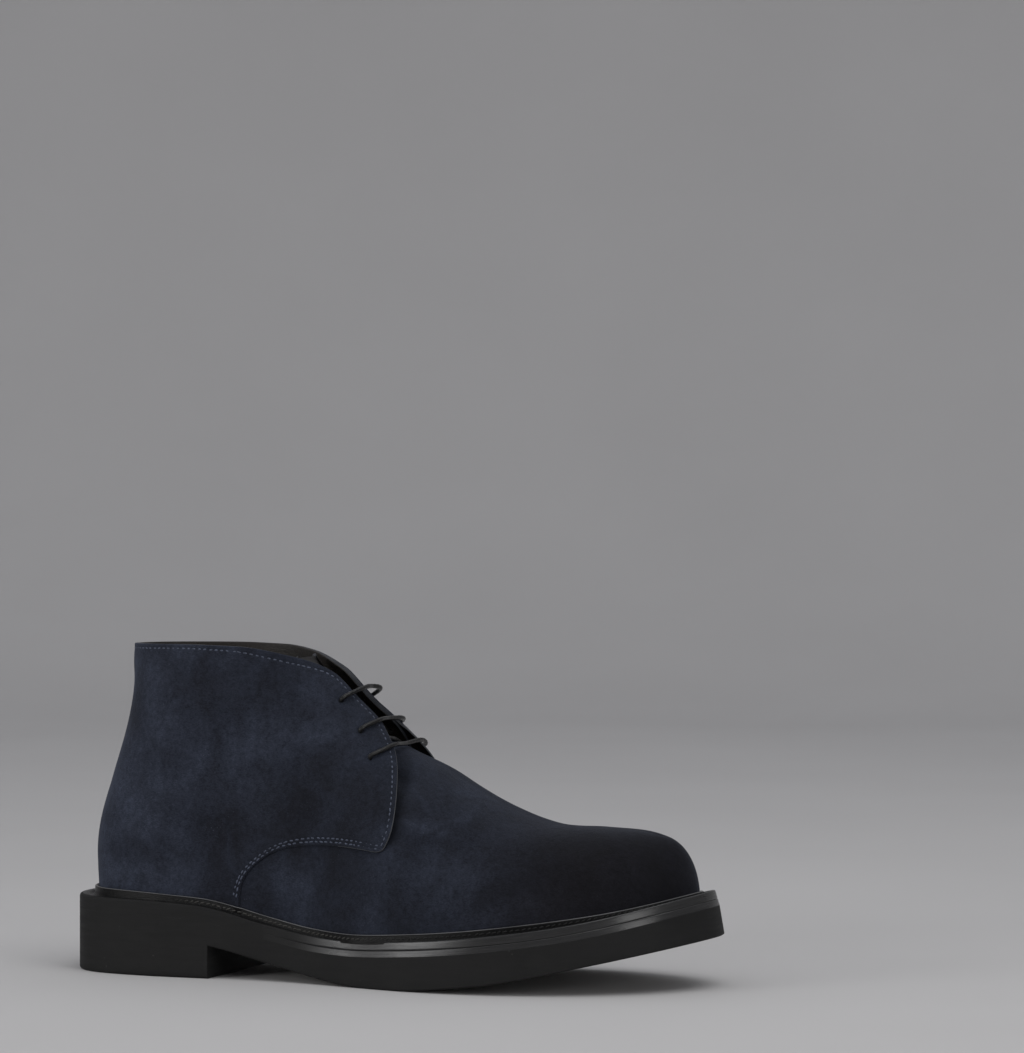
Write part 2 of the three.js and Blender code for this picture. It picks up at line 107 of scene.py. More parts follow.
SEAM = [(160.4, 58.8), (153, 59.5), (144, 60.3), (133, 60.5), (122, 60), (112, 58.5), (105, 56),
        (99.5, 52.4), (95, 48.5), (92, 44.5), (90.3, 39.7), (89.7, 34), (89.7, 26)]
VAMP_BACK = [(80, 24), (84, 45), (104, 66), (132, 74), (146, 88), (152.5, 98)]
THROAT_X = 152.5
SLOT = {-1: -7.2, 1: 9.2}
HOLES = [(131.5, 123), (143, 109.6), (150.3, 98.4)]
BARS = [[(138.3, -7, 128.8), (138.9, 2, 129.6), (139.9, 11, 128.4)],
        [(148.8, -13.5, 114.9), (148.3, 0, 115.4), (148.9, 16.5, 114.4)],
        [(155.2, -23.8, 102.5), (157.4, -17.5, 104.3), (156.8, 0, 104.3), (157.9, 17.2, 105),
         (157, 23, 102.9)]]
SLOPES = [[(135.5, -4, 118.6), (139.2, 7, 114.8)], [(149.9, -9.5, 107.3), (150.3, 8, 104.4)]]
TONGUE_ROWS = [(5.6, .74, 7), (6, .76, 7.4), (6.5, .77, 7.6), (7, .78, 7.8), (7.4, .79, 9),
               (7.75, .8, 7.6), (8.1, .81, 4.4)]

# ------------------------------------------------------------------ the boot's form


def smooth(t):
    c = np.clip(t, 0, 1)
    return c * c * (3 - 2 * c)


def along(rows, x, column=1):
    """A smooth curve through the rows of a table, read at x."""
    table = np.asarray(rows, float)
    xs, ys = table[:, 0], table[:, column]
    x = np.clip(np.asarray(x, float), xs[0], xs[-1])
    h = np.diff(xs)
    slope = np.diff(ys) / h
    m = np.empty(len(xs))
    m[0], m[-1] = slope[0], slope[-1]
    m[1:-1] = (slope[:-1] * h[1:] + slope[1:] * h[:-1]) / (h[:-1] + h[1:])
    i = np.clip(np.searchsorted(xs, x, side="right") - 1, 0, len(h) - 1)
    t = (x - xs[i]) / h[i]
    return ((1 + 2 * t) * (1 - t) ** 2 * ys[i] + t * (1 - t) ** 2 * h[i] * m[i]
            + t * t * (3 - 2 * t) * ys[i + 1] + t * t * (t - 1) * h[i] * m[i + 1])


def read_ring(rows, t):
    """A closed smooth curve through rows, read at t = 0 to the number of rows."""
    n = len(rows)
    t = np.asarray(t, float) % n
    i = np.floor(t).astype(int)
    f = (t - i)[..., None]
    a, b, c, d = (rows[(i + k) % n] for k in (-1, 0, 1, 2))
    return 0.5 * (2 * b + (c - a) * f + (2 * a - 5 * b + 4 * c - d) * f ** 2
                  + (3 * b - a - 3 * c + d) * f ** 3)


def round_the_foot(rows, make):
    outer = [make(r, -1) for r in rows]
    inner = [make(r, 1) for r in rows[1:-1]]
    return np.array(outer + inner[::-1], float)


rib_ring = round_the_foot(
    RIBS, lambda r, s: (r[0], s * (r[1] if s < 0 else r[2]), r[3], r[4], s * r[5], r[6], r[7], r[8]))
sole_ring = round_the_foot(SOLE, lambda r, s: (r[0], s * (r[1] if s < 0 else r[2])))
RING = len(rib_ring)


def top_half(t):
    raw = read_ring(rib_ring, t)[..., 4]
    turn = np.asarray(t, float) % RING
    half = np.where(turn <= RING / 2, np.minimum(0, raw), np.maximum(0, raw))
    return np.where((np.abs(half) < .2) & (np.minimum(turn, RING - turn) > 5), 0, half)


def last(t, v):
    """A point of the last: t runs round the foot in ribs, v from the welt (0) to the top (1)."""
    t, v = np.broadcast_arrays(np.asarray(t, float), np.asarray(v, float))
    x, y, top_x, top_z, _, low, high, heel = np.moveaxis(read_ring(rib_ring, t), -1, 0)
    top_y = along(RIDGE, top_x) + top_half(t)
    foot = along(SOLE_TOP, x) - WELT
    arch = 1 - (1 - v ** np.maximum(1, low)) ** (1 / np.maximum(1, high))
    back = smooth((v - .17) / .72)
    weight = np.clip(heel, 0, 1)
    lean = weight * back + (1 - weight) * arch
    rise = np.clip((v - .05) / .4, 0, 1)
    swell = weight * np.sin(np.pi * rise) / np.hypot(x - 60, y)
    return np.stack([x + (top_x - x) * lean + swell * (x - 60),
                     y + (top_y - y) * lean + swell * y, foot + (top_z - foot) * v], -1)


def unit(a):
    return a / np.maximum(np.linalg.norm(a, axis=-1, keepdims=True), 1e-9)


def normal(t, v):
    t, v = np.broadcast_arrays(np.asarray(t, float), np.asarray(v, float))
    e = 1e-3

    def one(s):
        across = last(s + e, v) - last(s - e, v)
        up = last(s, np.minimum(1, v + e)) - last(s, np.maximum(0, v - e))
        return unit(np.cross(across, up))

    n = one(t)
    ridge = ((v > .9999) & (top_half(t) == 0))[..., None]
    return np.where(ridge, unit(n + one(RING - t)), n)


def on_last(t, v, offset):
    return last(t, v) + normal(t, v) * np.asarray(offset, float)[..., None]


def turn_of(rib, side):
    return rib if side < 0 else RING - rib


def find(points, side):
    """Rib and height of side-view points (x, z) on the outer (-1) or inner (1) side."""
    p = np.atleast_2d(np.asarray(points, float))
    rib, v = np.full(len(p), 8.0), np.full(len(p), .8)
    for _ in range(60):
        here = last(turn_of(rib, side), v)
        d1 = (last(turn_of(rib + 1e-3, side), v) - here) * 1e3
        d2 = (here - last(turn_of(rib, side), v - 1e-3)) * 1e3
        dx, dz = p[:, 0] - here[:, 0], p[:, 1] - here[:, 2]
        det = d1[:, 0] * d2[:, 2] - d2[:, 0] * d1[:, 2]
        det = np.where(np.abs(det) < 1e-6, 1e-6, det)
        rib = rib + np.clip((dx * d2[:, 2] - d2[:, 0] * dz) / det, -.5, .5)
        v = np.clip(v + np.clip((d1[:, 0] * dz - dx * d1[:, 2]) / det, -.1, .1), .002, .995)
    return rib, v


def spline(points, step=0.5):
    """Points along a smooth curve through the given ones, about step apart."""
    p = np.asarray(points, float)
    p = np.vstack([2 * p[0] - p[1], p, 2 * p[-1] - p[-2]])
    out = []
    for i in range(1, len(p) - 2):
        knots = [0.0]
        for a, b in ((i - 1, i), (i, i + 1), (i + 1, i + 2)):
            knots.append(knots[-1] + math.sqrt(max(1e-9, np.linalg.norm(p[b] - p[a]))))
        t0, t1, t2, t3 = knots
        n = max(2, int(np.linalg.norm(p[i + 1] - p[i]) / step))
        for t in np.linspace(t1, t2, n, endpoint=False):
            a1 = (t1 - t) / (t1 - t0) * p[i - 1] + (t - t0) / (t1 - t0) * p[i]
            a2 = (t2 - t) / (t2 - t1) * p[i] + (t - t1) / (t2 - t1) * p[i + 1]
            a3 = (t3 - t) / (t3 - t2) * p[i + 1] + (t - t2) / (t3 - t2) * p[i + 2]
            b1 = (t2 - t) / (t2 - t0) * a1 + (t - t0) / (t2 - t0) * a2
            b2 = (t3 - t) / (t3 - t1) * a2 + (t - t1) / (t3 - t1) * a3
            out.append((t2 - t) / (t2 - t1) * b1 + (t - t1) / (t2 - t1) * b2)
    out.append(p[-2])
    return np.array(out)


def lengths(p):
    return np.concatenate([[0], np.cumsum(np.linalg.norm(np.diff(p, axis=0), axis=1))])


def resample(p, s):
    """Points at fractions s of a polyline's length."""
    run = lengths(p)
    return np.stack([np.interp(np.asarray(s) * run[-1], run, p[:, k]) for k in range(p.shape[1])], -1)


# Soft hollows and swellings of worn-in leather: side-view x and z, reach in x and z, depth, side.
SHAPING = [(62, 62, 17, 13, -.9, -1), (116, 92, 10, 24, -.75, -1), (36, 84, 22, 16, .5, -1),
           (88, 112, 18, 9, -.55, -1), (52, 118, 15, 20, .45, -1), (140, 78, 12, 10, .45, -1),
           (28, 52, 14, 9, -.45, -1), (190, 58, 17, 8, -.5, -1), (214, 52, 13, 9, .4, -1),
           (236, 44, 14, 7, -.4, -1), (172, 46, 13, 8, .45, -1), (60, 74, 18, 14, -.7, 1),
           (112, 96, 12, 22, -.7, 1), (40, 100, 20, 18, .5, 1), (90, 60, 14, 12, .5, 1),
           (196, 56, 16, 9, -.5, 1), (226, 50, 15, 9, .4, 1), (176, 44, 12, 9, .4, 1),
           (180, 70.5, 15, 3.2, .5, -1), (180, 63, 18, 4, -.35, -1)]
# Creases across the vamp, each a shallow trough beside a soft ridge: foot and top x, where it
# starts and ends up the side, depth.
CREASES = [(193, 186, 46, 74, .34), (206, 201, 42, 70, .3), (219, 216, 40, 64, .24),
           (182, 172, 52, 80, .26)]


def shaping(p, side_sign):
    """How far the leather stands off its plain form, by the listed hollows and creases."""
    x, z = p[..., 0], p[..., 2]
    out = np.zeros(x.shape)
    for cx, cz, rx, rz, depth, side in SHAPING:
        hill = np.exp(-((x - cx) / rx) ** 2 - ((z - cz) / rz) ** 2)
        out += depth * hill * (np.sign(side_sign) == side)
    for foot_x, top_x, low, high, depth in CREASES:
        f = (z - low) / (high - low)
        line = foot_x + (top_x - foot_x) * f + 1.6 * np.sin(z * .21 + foot_x)
        d = (x - line) / 3.4
        fade = np.exp(-((f - .62) / .42) ** 2)
        out += depth * fade * (np.exp(-(d - 1.2) ** 2) - 1.15 * np.exp(-d ** 2))
    return out


# ------------------------------------------------------------------ meshes


def to_frame(p):
    return (np.asarray(p, float) + ORIGIN) / 1000.0


def make_object(name, points, faces, materials, index=None, uv=None, sharp=40):
    """A mesh object from points in mm, with a material index per face and uv per point."""
    mesh = bpy.data.meshes.new(name)
    mesh.from_pydata(to_frame(points).tolist(), [], [list(map(int, f)) for f in faces])
    for m in materials:
        mesh.materials.append(m)
    if index is not None:
        mesh.polygons.foreach_set("material_index", np.asarray(index, np.int32))
    if uv is not None:
        layer = mesh.uv_layers.new(name="Run")
        loops = np.empty(len(mesh.loops), np.int32)
        mesh.loops.foreach_get("vertex_index", loops)
        layer.data.foreach_set("uv", (np.asarray(uv, float)[loops] / 1000).astype(np.float32).ravel())
    mesh.validate()
    mesh.polygons.foreach_set("use_smooth", np.ones(len(mesh.polygons), bool))
    mesh.set_sharp_from_angle(angle=math.radians(sharp))
    mesh.update()
    obj = bpy.data.objects.new(name, mesh)
    scene.collection.objects.link(obj)
    return obj


def merge(points, faces, tol=1e-4):
    """Points that coincide made one, and faces that fell together dropped."""
    key = np.round(np.asarray(points) / tol).astype(np.int64)
    _, first, back = np.unique(key, axis=0, return_index=True, return_inverse=True)
    back = back.ravel()
    kept, which = [], []
    for i, face in enumerate(faces):
        f = [int(back[j]) for j in face]
        f = [a for k, a in enumerate(f) if a != f[k - 1]]
        if len(set(f)) >= 3 and len(set(f)) == len(f):
            kept.append(f)
            which.append(i)
    return np.asarray(points)[first], kept, which


def grid_faces(rows, columns, base=0, flip=False, keep=None, wrap=False):
    out = []
    last_column = columns if wrap else columns - 1
    for j in range(rows - 1):
        for i in range(last_column):
            if keep is not None and not keep[j, i]:
                continue
            a = base + j * columns + i
            b = base + j * columns + (i + 1) % columns
            quad = (a, b, b + columns, a + columns)
            out.append(quad[::-1] if flip else quad)
    return out


def sheet(name, outer, inner, materials, rim=None, keep=None, flip=False, joined_top=False,
          pale=None):
    """A closed sheet between two grids; the rim runs over extra rows between them.

    rim holds (share of the thickness, how far outwards in mm). keep drops grid cells, which
    leaves holes with a rim of their own. joined_top says that the last row is joined to itself.
    pale marks cells of the outer face that take the fourth material.
    Materials: outer face, inner face, rim and, with pale, a painted highlight along the outer face's edge."""
    rows, columns = outer.shape[:2]
    size = rows * columns
    points = [outer.reshape(-1, 3), inner.reshape(-1, 3)]
    if keep is None:
        keep = np.ones((rows - 1, columns - 1), bool)
    faces = grid_faces(rows, columns, 0, flip, keep)
    index = [0] * len(faces) if pale is None else [3 if p else 0 for p in pale[keep]]
    back = grid_faces(rows, columns, size, not flip, keep)
    faces += back
    index += [1] * len(back)
    edge_count = {}
    for f in faces[:len(back)]:
        for k in range(4):
            a, b = f[k], f[(k + 1) % 4]
            edge_count[(a, b)] = edge_count.get((a, b), 0) + 1
    border = [(a, b) for (a, b) in edge_count if (b, a) not in edge_count]
    if joined_top:
        border = [(a, b) for a, b in border if min(a, b) < size - columns]
    rim = rim or []
    count = 2 * size
    where = {}
    flat_outer, flat_inner = points[0], points[1]
    centre = {}
    for a, b in border:
        across = flat_outer[b] - flat_outer[a]
        deep = flat_inner[a] - flat_outer[a]
        out = np.cross(deep, across)
        out = out / max(1e-9, np.linalg.norm(out))
        for k in (a, b):
            centre[k] = centre.get(k, 0) + out
    extra = []
    for k, out in centre.items():
        out = -out / max(1e-9, np.linalg.norm(out))
        line = [k]
        for share, push in rim:
            extra.append(flat_outer[k] + (flat_inner[k] - flat_outer[k]) * share + out * push)
            line.append(count + len(extra) - 1)
        where[k] = line + [size + k]
    if extra:
        points.append(np.array(extra))
    for a, b in border:
        la, lb = where[a], where[b]
        for n in range(len(la) - 1):
            faces.append((lb[n], la[n], la[n + 1], lb[n + 1]))
            index.append(2)
    points = np.vstack(points)
    points, faces, which = merge(points, faces)
    return make_object(name, points, faces, materials, [index[i] for i in which])


def tube(path, radius, sides=12, ridges=0, twist=0.0, depth=0.0):
    """Points and faces of a closed round tube along a path, with helical ridges if asked."""
    path = np.asarray(path, float)
    tangent = unit(np.gradient(path, axis=0))
    up = np.array([0.0, 0.0, 1.0])
    side = np.cross(tangent[0], up)
    if np.linalg.norm(side) < .2:
        side = np.cross(tangent[0], [1.0, 0, 0])
    side = unit(side)
    run = lengths(path)
    points = []
    for i, p in enumerate(path):
        side = unit(side - tangent[i] * np.dot(side, tangent[i]))
        other = np.cross(tangent[i], side)
        r = radius[i] if np.ndim(radius) else radius
        for k in range(sides):
            a = 2 * math.pi * k / sides
            rr = r * (1 - depth * (.5 - .5 * math.cos(ridges * a + twist * run[i])))
            points.append(p + side * math.cos(a) * rr + other * math.sin(a) * rr)
    faces = grid_faces(len(path), sides, wrap=True)
    first = len(points)
    points.append(path[0])
    points.append(path[-1])
    end = (len(path) - 1) * sides
    for k in range(sides):
        faces.append((first, (k + 1) % sides, k))
        faces.append((first + 1, end + k, end + (k + 1) % sides))
    return np.array(points), faces


def stitches(name, rows, material, length, width, height):
    """One mesh of many sewn stitches. Each row is points, outward directions and a pitch."""
    points, faces = [], []
    angle = np.linspace(0, 2 * math.pi, 9)[:-1]
    shape = [(-1, .0), (-.93, .55), (-.6, .95), (0, 1.0), (.6, .95), (.93, .55), (1, .0)]
    n = 0
    chance = np.random.default_rng(len(rows) * 7 + 3)
    for path, up, pitch, slant in rows:
        run = lengths(path)
        many = max(1, int(round(run[-1] / pitch)))
        step = run[-1] / many
        for s in range(many):
            at = (s + .5 + .07 * chance.normal()) * step
            reach = step * length / 2 * (1 + .12 * chance.normal())
            here, there = at - reach, at + reach
            p0, p1 = [np.array([np.interp(q, run, path[:, k]) for k in range(3)])
                      for q in (here, there)]
            n0 = unit(np.array([np.interp(at, run, up[:, k]) for k in range(3)]))
            along_stitch = unit(p1 - p0)
            side = unit(np.cross(n0, along_stitch))
            along_stitch = unit(along_stitch + side * (slant + .14 * chance.normal()))
            side = unit(np.cross(n0, along_stitch))
            mid = (p0 + p1) / 2
            half = np.linalg.norm(p1 - p0) / 2
            base = n
            for a, r in shape:
                droop = -height * .9 * abs(a) ** 3
                for q in angle:
                    points.append(mid + along_stitch * half * a + side * math.cos(q) * width / 2 * r
                                  + n0 * (math.sin(q) * height * r + droop))
                    n += 1
            for j in range(len(shape) - 1):
                for k in range(8):
                    a, b = base + j * 8 + k, base + j * 8 + (k + 1) % 8
                    faces.append((a, b, b + 8, a + 8))
    points, faces, _ = merge(points, faces, 1e-5)
    obj = make_object(name, points, faces, [material], sharp=180)
    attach(obj, "root")
    return obj


# ------------------------------------------------------------------ materials


class Nodes:
    """A short way to write a procedural material."""

    def __init__(self, name):
        self.material = bpy.data.materials.new(name)
        self.material.use_nodes = True
        self.tree = self.material.node_tree
        self.shader = self.tree.nodes["Principled BSDF"]
        self.place = self.tree.nodes.new("ShaderNodeTexCoord").outputs["Object"]

    def link(self, a, b):
        self.tree.links.new(a, b)

    def uv(self):
        node = self.tree.nodes.new("ShaderNodeUVMap")
        node.uv_map = "Run"
        return node.outputs["UV"]

    def scaled(self, scale, source=None, turn=(0, 0, 0)):
        node = self.tree.nodes.new("ShaderNodeMapping")
        node.inputs["Scale"].default_value = scale
        node.inputs["Rotation"].default_value = turn
        self.link(source or self.place, node.inputs["Vector"])
        return node.outputs["Vector"]

    def noise(self, scale, detail=4, rough=.55, source=None, distortion=0):
        node = self.tree.nodes.new("ShaderNodeTexNoise")
        node.inputs["Scale"].default_value = scale
        node.inputs["Detail"].default_value = detail
        node.inputs["Roughness"].default_value = rough
        node.inputs["Distortion"].default_value = distortion
        self.link(source or self.place, node.inputs["Vector"])
        return node.outputs["Fac"]

    def cells(self, scale, source=None, feature="F1", output="Distance"):
        node = self.tree.nodes.new("ShaderNodeTexVoronoi")
        node.feature = feature
        node.inputs["Scale"].default_value = scale
        self.link(source or self.place, node.inputs["Vector"])
        return node.outputs[output]

    def ramp(self, value, stops):
        node = self.tree.nodes.new("ShaderNodeValToRGB")
        ramp = node.color_ramp
        while len(ramp.elements) < len(stops):
            ramp.elements.new(.5)
        for element, (at, colour) in zip(ramp.elements, stops):
            element.position = at
            element.color = (*colour, 1) if not np.isscalar(colour) else (colour, colour, colour, 1)
        self.link(value, node.inputs["Fac"])
        return node.outputs["Color"]

    def between(self, value, low, high, out_low=0.0, out_high=1.0):
        node = self.tree.nodes.new("ShaderNodeMapRange")
        node.interpolation_type = "SMOOTHSTEP"
        for key, number in (("From Min", low), ("From Max", high),
                            ("To Min", out_low), ("To Max", out_high)):
            node.inputs[key].default_value = number
        self.link(value, node.inputs["Value"])
        return node.outputs["Result"]

    def mix(self, share, a, b, how="MIX"):
        node = self.tree.nodes.new("ShaderNodeMix")
        node.data_type = "RGBA"
        node.blend_type = how
        for socket, value in ((node.inputs[0], share), (node.inputs[6], a), (node.inputs[7], b)):
            if hasattr(value, "links"):
                self.link(value, socket)
            elif np.isscalar(value):
                socket.default_value = value
            else:
                socket.default_value = (*value, 1)
        return node.outputs[2]

    def math(self, how, a, b=0.0, clamp=False):
        node = self.tree.nodes.new("ShaderNodeMath")
        node.operation = how
        node.use_clamp = clamp
        for socket, value in ((node.inputs[0], a), (node.inputs[1], b)):
            if hasattr(value, "links"):
                self.link(value, socket)
            else:
                socket.default_value = value
        return node.outputs[0]

    def vector(self, how, a, b):
        node = self.tree.nodes.new("ShaderNodeVectorMath")
        node.operation = how
        for socket, value in ((node.inputs[0], a), (node.inputs[1], b)):
            if hasattr(value, "links"):
                self.link(value, socket)
            else:
                socket.default_value = value
        return node.outputs["Value" if how == "LENGTH" else "Vector"]

    def wandering(self, scale, size):
        """Places moved about by noise, for edges that aren't drawn with a ruler."""
        node = self.tree.nodes.new("ShaderNodeTexNoise")
        node.inputs["Scale"].default_value = scale
        node.inputs["Detail"].default_value = 4
        self.link(self.place, node.inputs["Vector"])
        shift = self.vector("SUBTRACT", node.outputs["Color"], (.5, .5, .5))
        return self.vector("ADD", self.place, self.vector("MULTIPLY", shift, (size, size, size)))

    def spots(self, rows, source):
        """The sum of soft spots: centre in the boot's axes, reach along x and z, and weight."""
        total = None
        for x, y, z, reach_x, reach_z, weight in rows:
            centre = tuple((np.array([x, y, z]) + ORIGIN) / 1000)
            away = self.vector("SUBTRACT", source, centre)
            away = self.vector("MULTIPLY", away, (1000 / reach_x, 25.0, 1000 / reach_z))
            spot = self.between(self.vector("LENGTH", away, (0, 0, 0)), .15, 1.25, weight, 0.0)
            total = spot if total is None else self.math("ADD", total, spot)
        return total

    def axis(self, name):
        node = self.tree.nodes.new("ShaderNodeSeparateXYZ")
        self.link(self.place, node.inputs[0])
        return node.outputs[name]

    def finish(self, colour, rough, bumps=(), **constants):
        if hasattr(colour, "links"):
            self.link(colour, self.shader.inputs["Base Color"])
        else:
            self.shader.inputs["Base Color"].default_value = (*colour, 1)
        if hasattr(rough, "links"):
            self.link(rough, self.shader.inputs["Roughness"])
        else:
            self.shader.inputs["Roughness"].default_value = rough
        chained = None
        for height, strength, distance in bumps:
            node = self.tree.nodes.new("ShaderNodeBump")
            node.inputs["Strength"].default_value = strength
            node.inputs["Distance"].default_value = distance
            self.link(height, node.inputs["Height"])
            if chained is not None:
                self.link(chained, node.inputs["Normal"])
            chained = node.outputs["Normal"]
        if chained is not None:
            self.link(chained, self.shader.inputs["Normal"])
        for key, value in constants.items():
            self.shader.inputs[key.replace("_", " ")].default_value = value
        return self.material


# Where the nap lies darker (-) or lighter (+), and in the last two entries a painted highlight on the outer
# vamp's crease ridge and painted shade in the hollow below it: centre, reach along x and z, and weight.
NAP_AND_CREASE_LIGHT = [(78, -33, 66, 22, 14, -.13), (118, -35, 82, 15, 26, -.10), (62, -30, 124, 20, 13, -.07),
       (34, -33, 57, 11, 9, -.08), (54, -32, 97, 14, 9, -.05), (250, -46, 58, 34, 20, -.05),
       (38, -31, 82, 19, 14, .07), (42, -32, 66, 12, 9, .07), (98, -34, 100, 17, 11, .07),
       (114, -38, 44, 20, 12, .09), (190, -50, 48, 26, 12, .06), (176, -24, 84, 22, 8, .06),
       (46, -31, 43, 34, 13, .12), (30, -28, 114, 16, 14, -.05), (146, -46, 40, 18, 9, -.04),
       (212, -40, 62, 16, 9, .04),
       (70, 33, 70, 22, 14, -.09), (44, 32, 92, 18, 14, .08), (196, 50, 52, 24, 12, .06),
       # the last two entries below: painted highlight on the outer vamp's crease ridge, painted shade in the
       # hollow under it
       (240, 44, 50, 24, 12, -.06), (178, -38, 70, 17, 4, .12), (182, -38, 62, 22, 6, -.05)]


def suede(name, gap=False):
    """Napped navy suede: blotches where the pile lies another way, a painted highlight and painted shade at a
    vamp crease, short fibres, darker toe.

    With gap set, painted shade darkens it close in front of the facings, where the facing stands off the vamp
    and shades it."""
    n = Nodes(name)
    blotch = n.noise(17, 3, .5, distortion=.6)
    patch = n.noise(52, 4, .6, source=n.scaled((1, 1, .7)), distortion=.9)
    nap = n.noise(430, 5, .7)
    fibre = n.noise(1500, 3, .75, source=n.scaled((.7, 1, 1.6), turn=(0, .5, 0)))
    mixed = n.math("ADD", n.math("MULTIPLY", blotch, .5), n.math("MULTIPLY", patch, .5))
    mixed = n.math("ADD", mixed, n.spots(NAP_AND_CREASE_LIGHT, n.wandering(60, .022)))
    base = n.ramp(mixed, [(.33, (.0118, .0130, .0185)),
                          (.50, (.0205, .0240, .0355)),
                          (.68, (.0360, .0425, .0625))])
    speck = n.ramp(nap, [(.3, .6), (.5, 1.0), (.72, 1.36)])
    tone = n.mix(.8, base, speck, "MULTIPLY")
    fine = n.ramp(fibre, [(.34, .66), (.66, 1.36)])
    tone = n.mix(.85, tone, fine, "MULTIPLY")
    tips = n.ramp(n.cells(620), [(.0, 1.0), (.10, 1.0), (.17, .0)])
    some = n.ramp(n.noise(70, 3, .6), [(.52, .0), (.66, .5)])
    tone = n.mix(n.math("MULTIPLY", tips, some), tone, (.075, .088, .12))
    # the colour grows darker along the length, from the heel towards the vamp and toe
    darker_along_length = n.ramp(n.math("MULTIPLY", n.math("ADD", n.axis("X"), .151), 1 / .302),
                  [(.0, 1.0), (.25, 1.0), (.44, .80), (.62, .74)])
    tone = n.mix(1.0, tone, darker_along_length, "MULTIPLY")
    toe = n.between(n.axis("X"), .035, .100)
    tone = n.mix(toe, tone, n.mix(1.0, tone, (.48, .40, .35), "MULTIPLY"))
    # painted shade: the vamp is darker just in front of each facing's edge, where the facing stands off it
    # and shades it
    if gap:
        line = n.ramp(n.math("MULTIPLY", n.axis("Z"), 1000 / 150),
                      [(z / 150, (x - 150) / 30) for x, z in FACING])
        beside = n.math("SUBTRACT", n.axis("X"), n.math("MULTIPLY", n.math("ADD", line, -1 / 30), .03))
        shade = n.between(beside, 0, .0065, .62, 0.0)
        reach = n.math("MULTIPLY", n.between(n.axis("Z"), .058, .068),
                       n.between(n.axis("Z"), .088, .106, 1.0, 0.0))
        tone = n.mix(n.math("MULTIPLY", shade, reach), tone, (.0015, .0015, .0018))
    rough = n.between(patch, .3, .7, .86, .98)
    return n.finish(tone, rough,
                    bumps=[(patch, .25, .0012), (nap, .45, .0005), (fibre, .55, .00022)],
                    Sheen_Weight=.12, Sheen_Roughness=.45, Sheen_Tint=(.52, .58, .74, 1),
                    Specular_IOR_Level=.12)


def rubber(name):
    """Matte black rubber with a faint mould texture, small scuffs and pale specks near the toe."""
    n = Nodes(name)
    cloud = n.noise(26, 4, .6)
    grain = n.noise(900, 3, .6)
    specks = n.cells(330, feature="F1")
    dots = n.ramp(specks, [(.0, 1.0), (.10, 1.0), (.15, .0)])
    few = n.ramp(n.noise(38, 2, .5), [(.6, .0), (.68, 1.0)])
    near_toe = n.between(n.axis("X"), .02, .12, .25, 1.0)
    scuff = n.math("MULTIPLY", n.math("MULTIPLY", dots, few), near_toe)
    base = n.ramp(cloud, [(.3, (.0125, .0125, .0126)), (.7, (.0185, .0184, .0183))])
    tone = n.mix(scuff, base, (.10, .098, .095))
    streak = n.noise(60, 4, .6, source=n.scaled((1, 1, 9)))
    mixed = n.math("ADD", n.math("MULTIPLY", cloud, .5), n.math("MULTIPLY", streak, .5))
    return n.finish(tone, n.between(mixed, .35, .65, .56, .72),
                    bumps=[(streak, .05, .0005), (grain, .2, .00018)], Specular_IOR_Level=.13)


def edge_band(name):
    """The welt's and midsole's edge: brushed and polished in the forepart, matte at the heel."""
    n = Nodes(name)
    run = n.uv()
    brush = n.noise(60, 5, .65, source=n.scaled((1, 60, 1), run))
    coarse = n.noise(26, 3, .6, source=n.scaled((1, 22, 1), run))
    cloud = n.noise(30, 4, .6)
    front = n.between(n.axis("X"), -.035, -.003)
    base = n.ramp(brush, [(.3, (.014, .014, .0142)), (.7, (.034, .034, .0345))])
    heel = n.ramp(cloud, [(.3, (.0025, .0025, .0026)), (.7, (.0060, .0059, .0058))])
    tone = n.mix(front, heel, base)
    mixed = n.math("ADD", n.math("MULTIPLY", coarse, .6), n.math("MULTIPLY", cloud, .4))
    polished = n.between(mixed, .35, .65, .16, .27)
    heel_rough = n.between(cloud, .3, .7, .62, .76)
    rough = n.mix(front, heel_rough, polished)
    return n.finish(tone, rough, bumps=[(brush, .12, .0004), (n.noise(800, 3, .6), .1, .00015)],
                    Specular_IOR_Level=.38)


def leather(name, dark, light, rough=(.42, .6), grain=620, depth=.00025, shine=.3):
    n = Nodes(name)
    cloud = n.noise(28, 4, .6)
    cell = n.cells(grain, feature="DISTANCE_TO_EDGE")
    pores = n.ramp(cell, [(.0, .0), (.12, 1.0)])
    tone = n.mix(.5, n.ramp(cloud, [(.3, dark), (.7, light)]),
                 n.ramp(cell, [(.0, .55), (.12, 1.0)]), "MULTIPLY")
    return n.finish(tone, n.between(cloud, .3, .7, *rough),
                    bumps=[(pores, .3, depth), (n.noise(90, 4, .6), .2, .0008)], Specular_IOR_Level=shine)


def thread(name, colour, waist=0):
    """Twisted thread; with waist set, it is pale only at the waist and dark elsewhere."""
    n = Nodes(name)
    ply = n.noise(1900, 2, .6, source=n.scaled((1, 1, 1), turn=(.6, .5, .7)))
    cloud = n.noise(70, 3, .6)
    dark, light = (tuple(c * share for c in colour) for share in (.75, 1.15))
    tone = n.mix(.8, n.ramp(cloud, [(.3, dark), (.7, light)]),
                 n.ramp(ply, [(.35, .6), (.6, 1.25)]), "MULTIPLY")
    if waist:
        along_x = n.axis("X")
        pale = n.math("MULTIPLY", n.between(along_x, -.095, -.08),
                      n.between(along_x, -.02, .02, 1.0, 0.0))
        tone = n.mix(n.math("MULTIPLY", pale, waist), (.0055, .0054, .0053), tone)
    return n.finish(tone, n.between(ply, .3, .7, .55, .75), bumps=[(ply, .5, .0002)],
                    Specular_IOR_Level=.3)


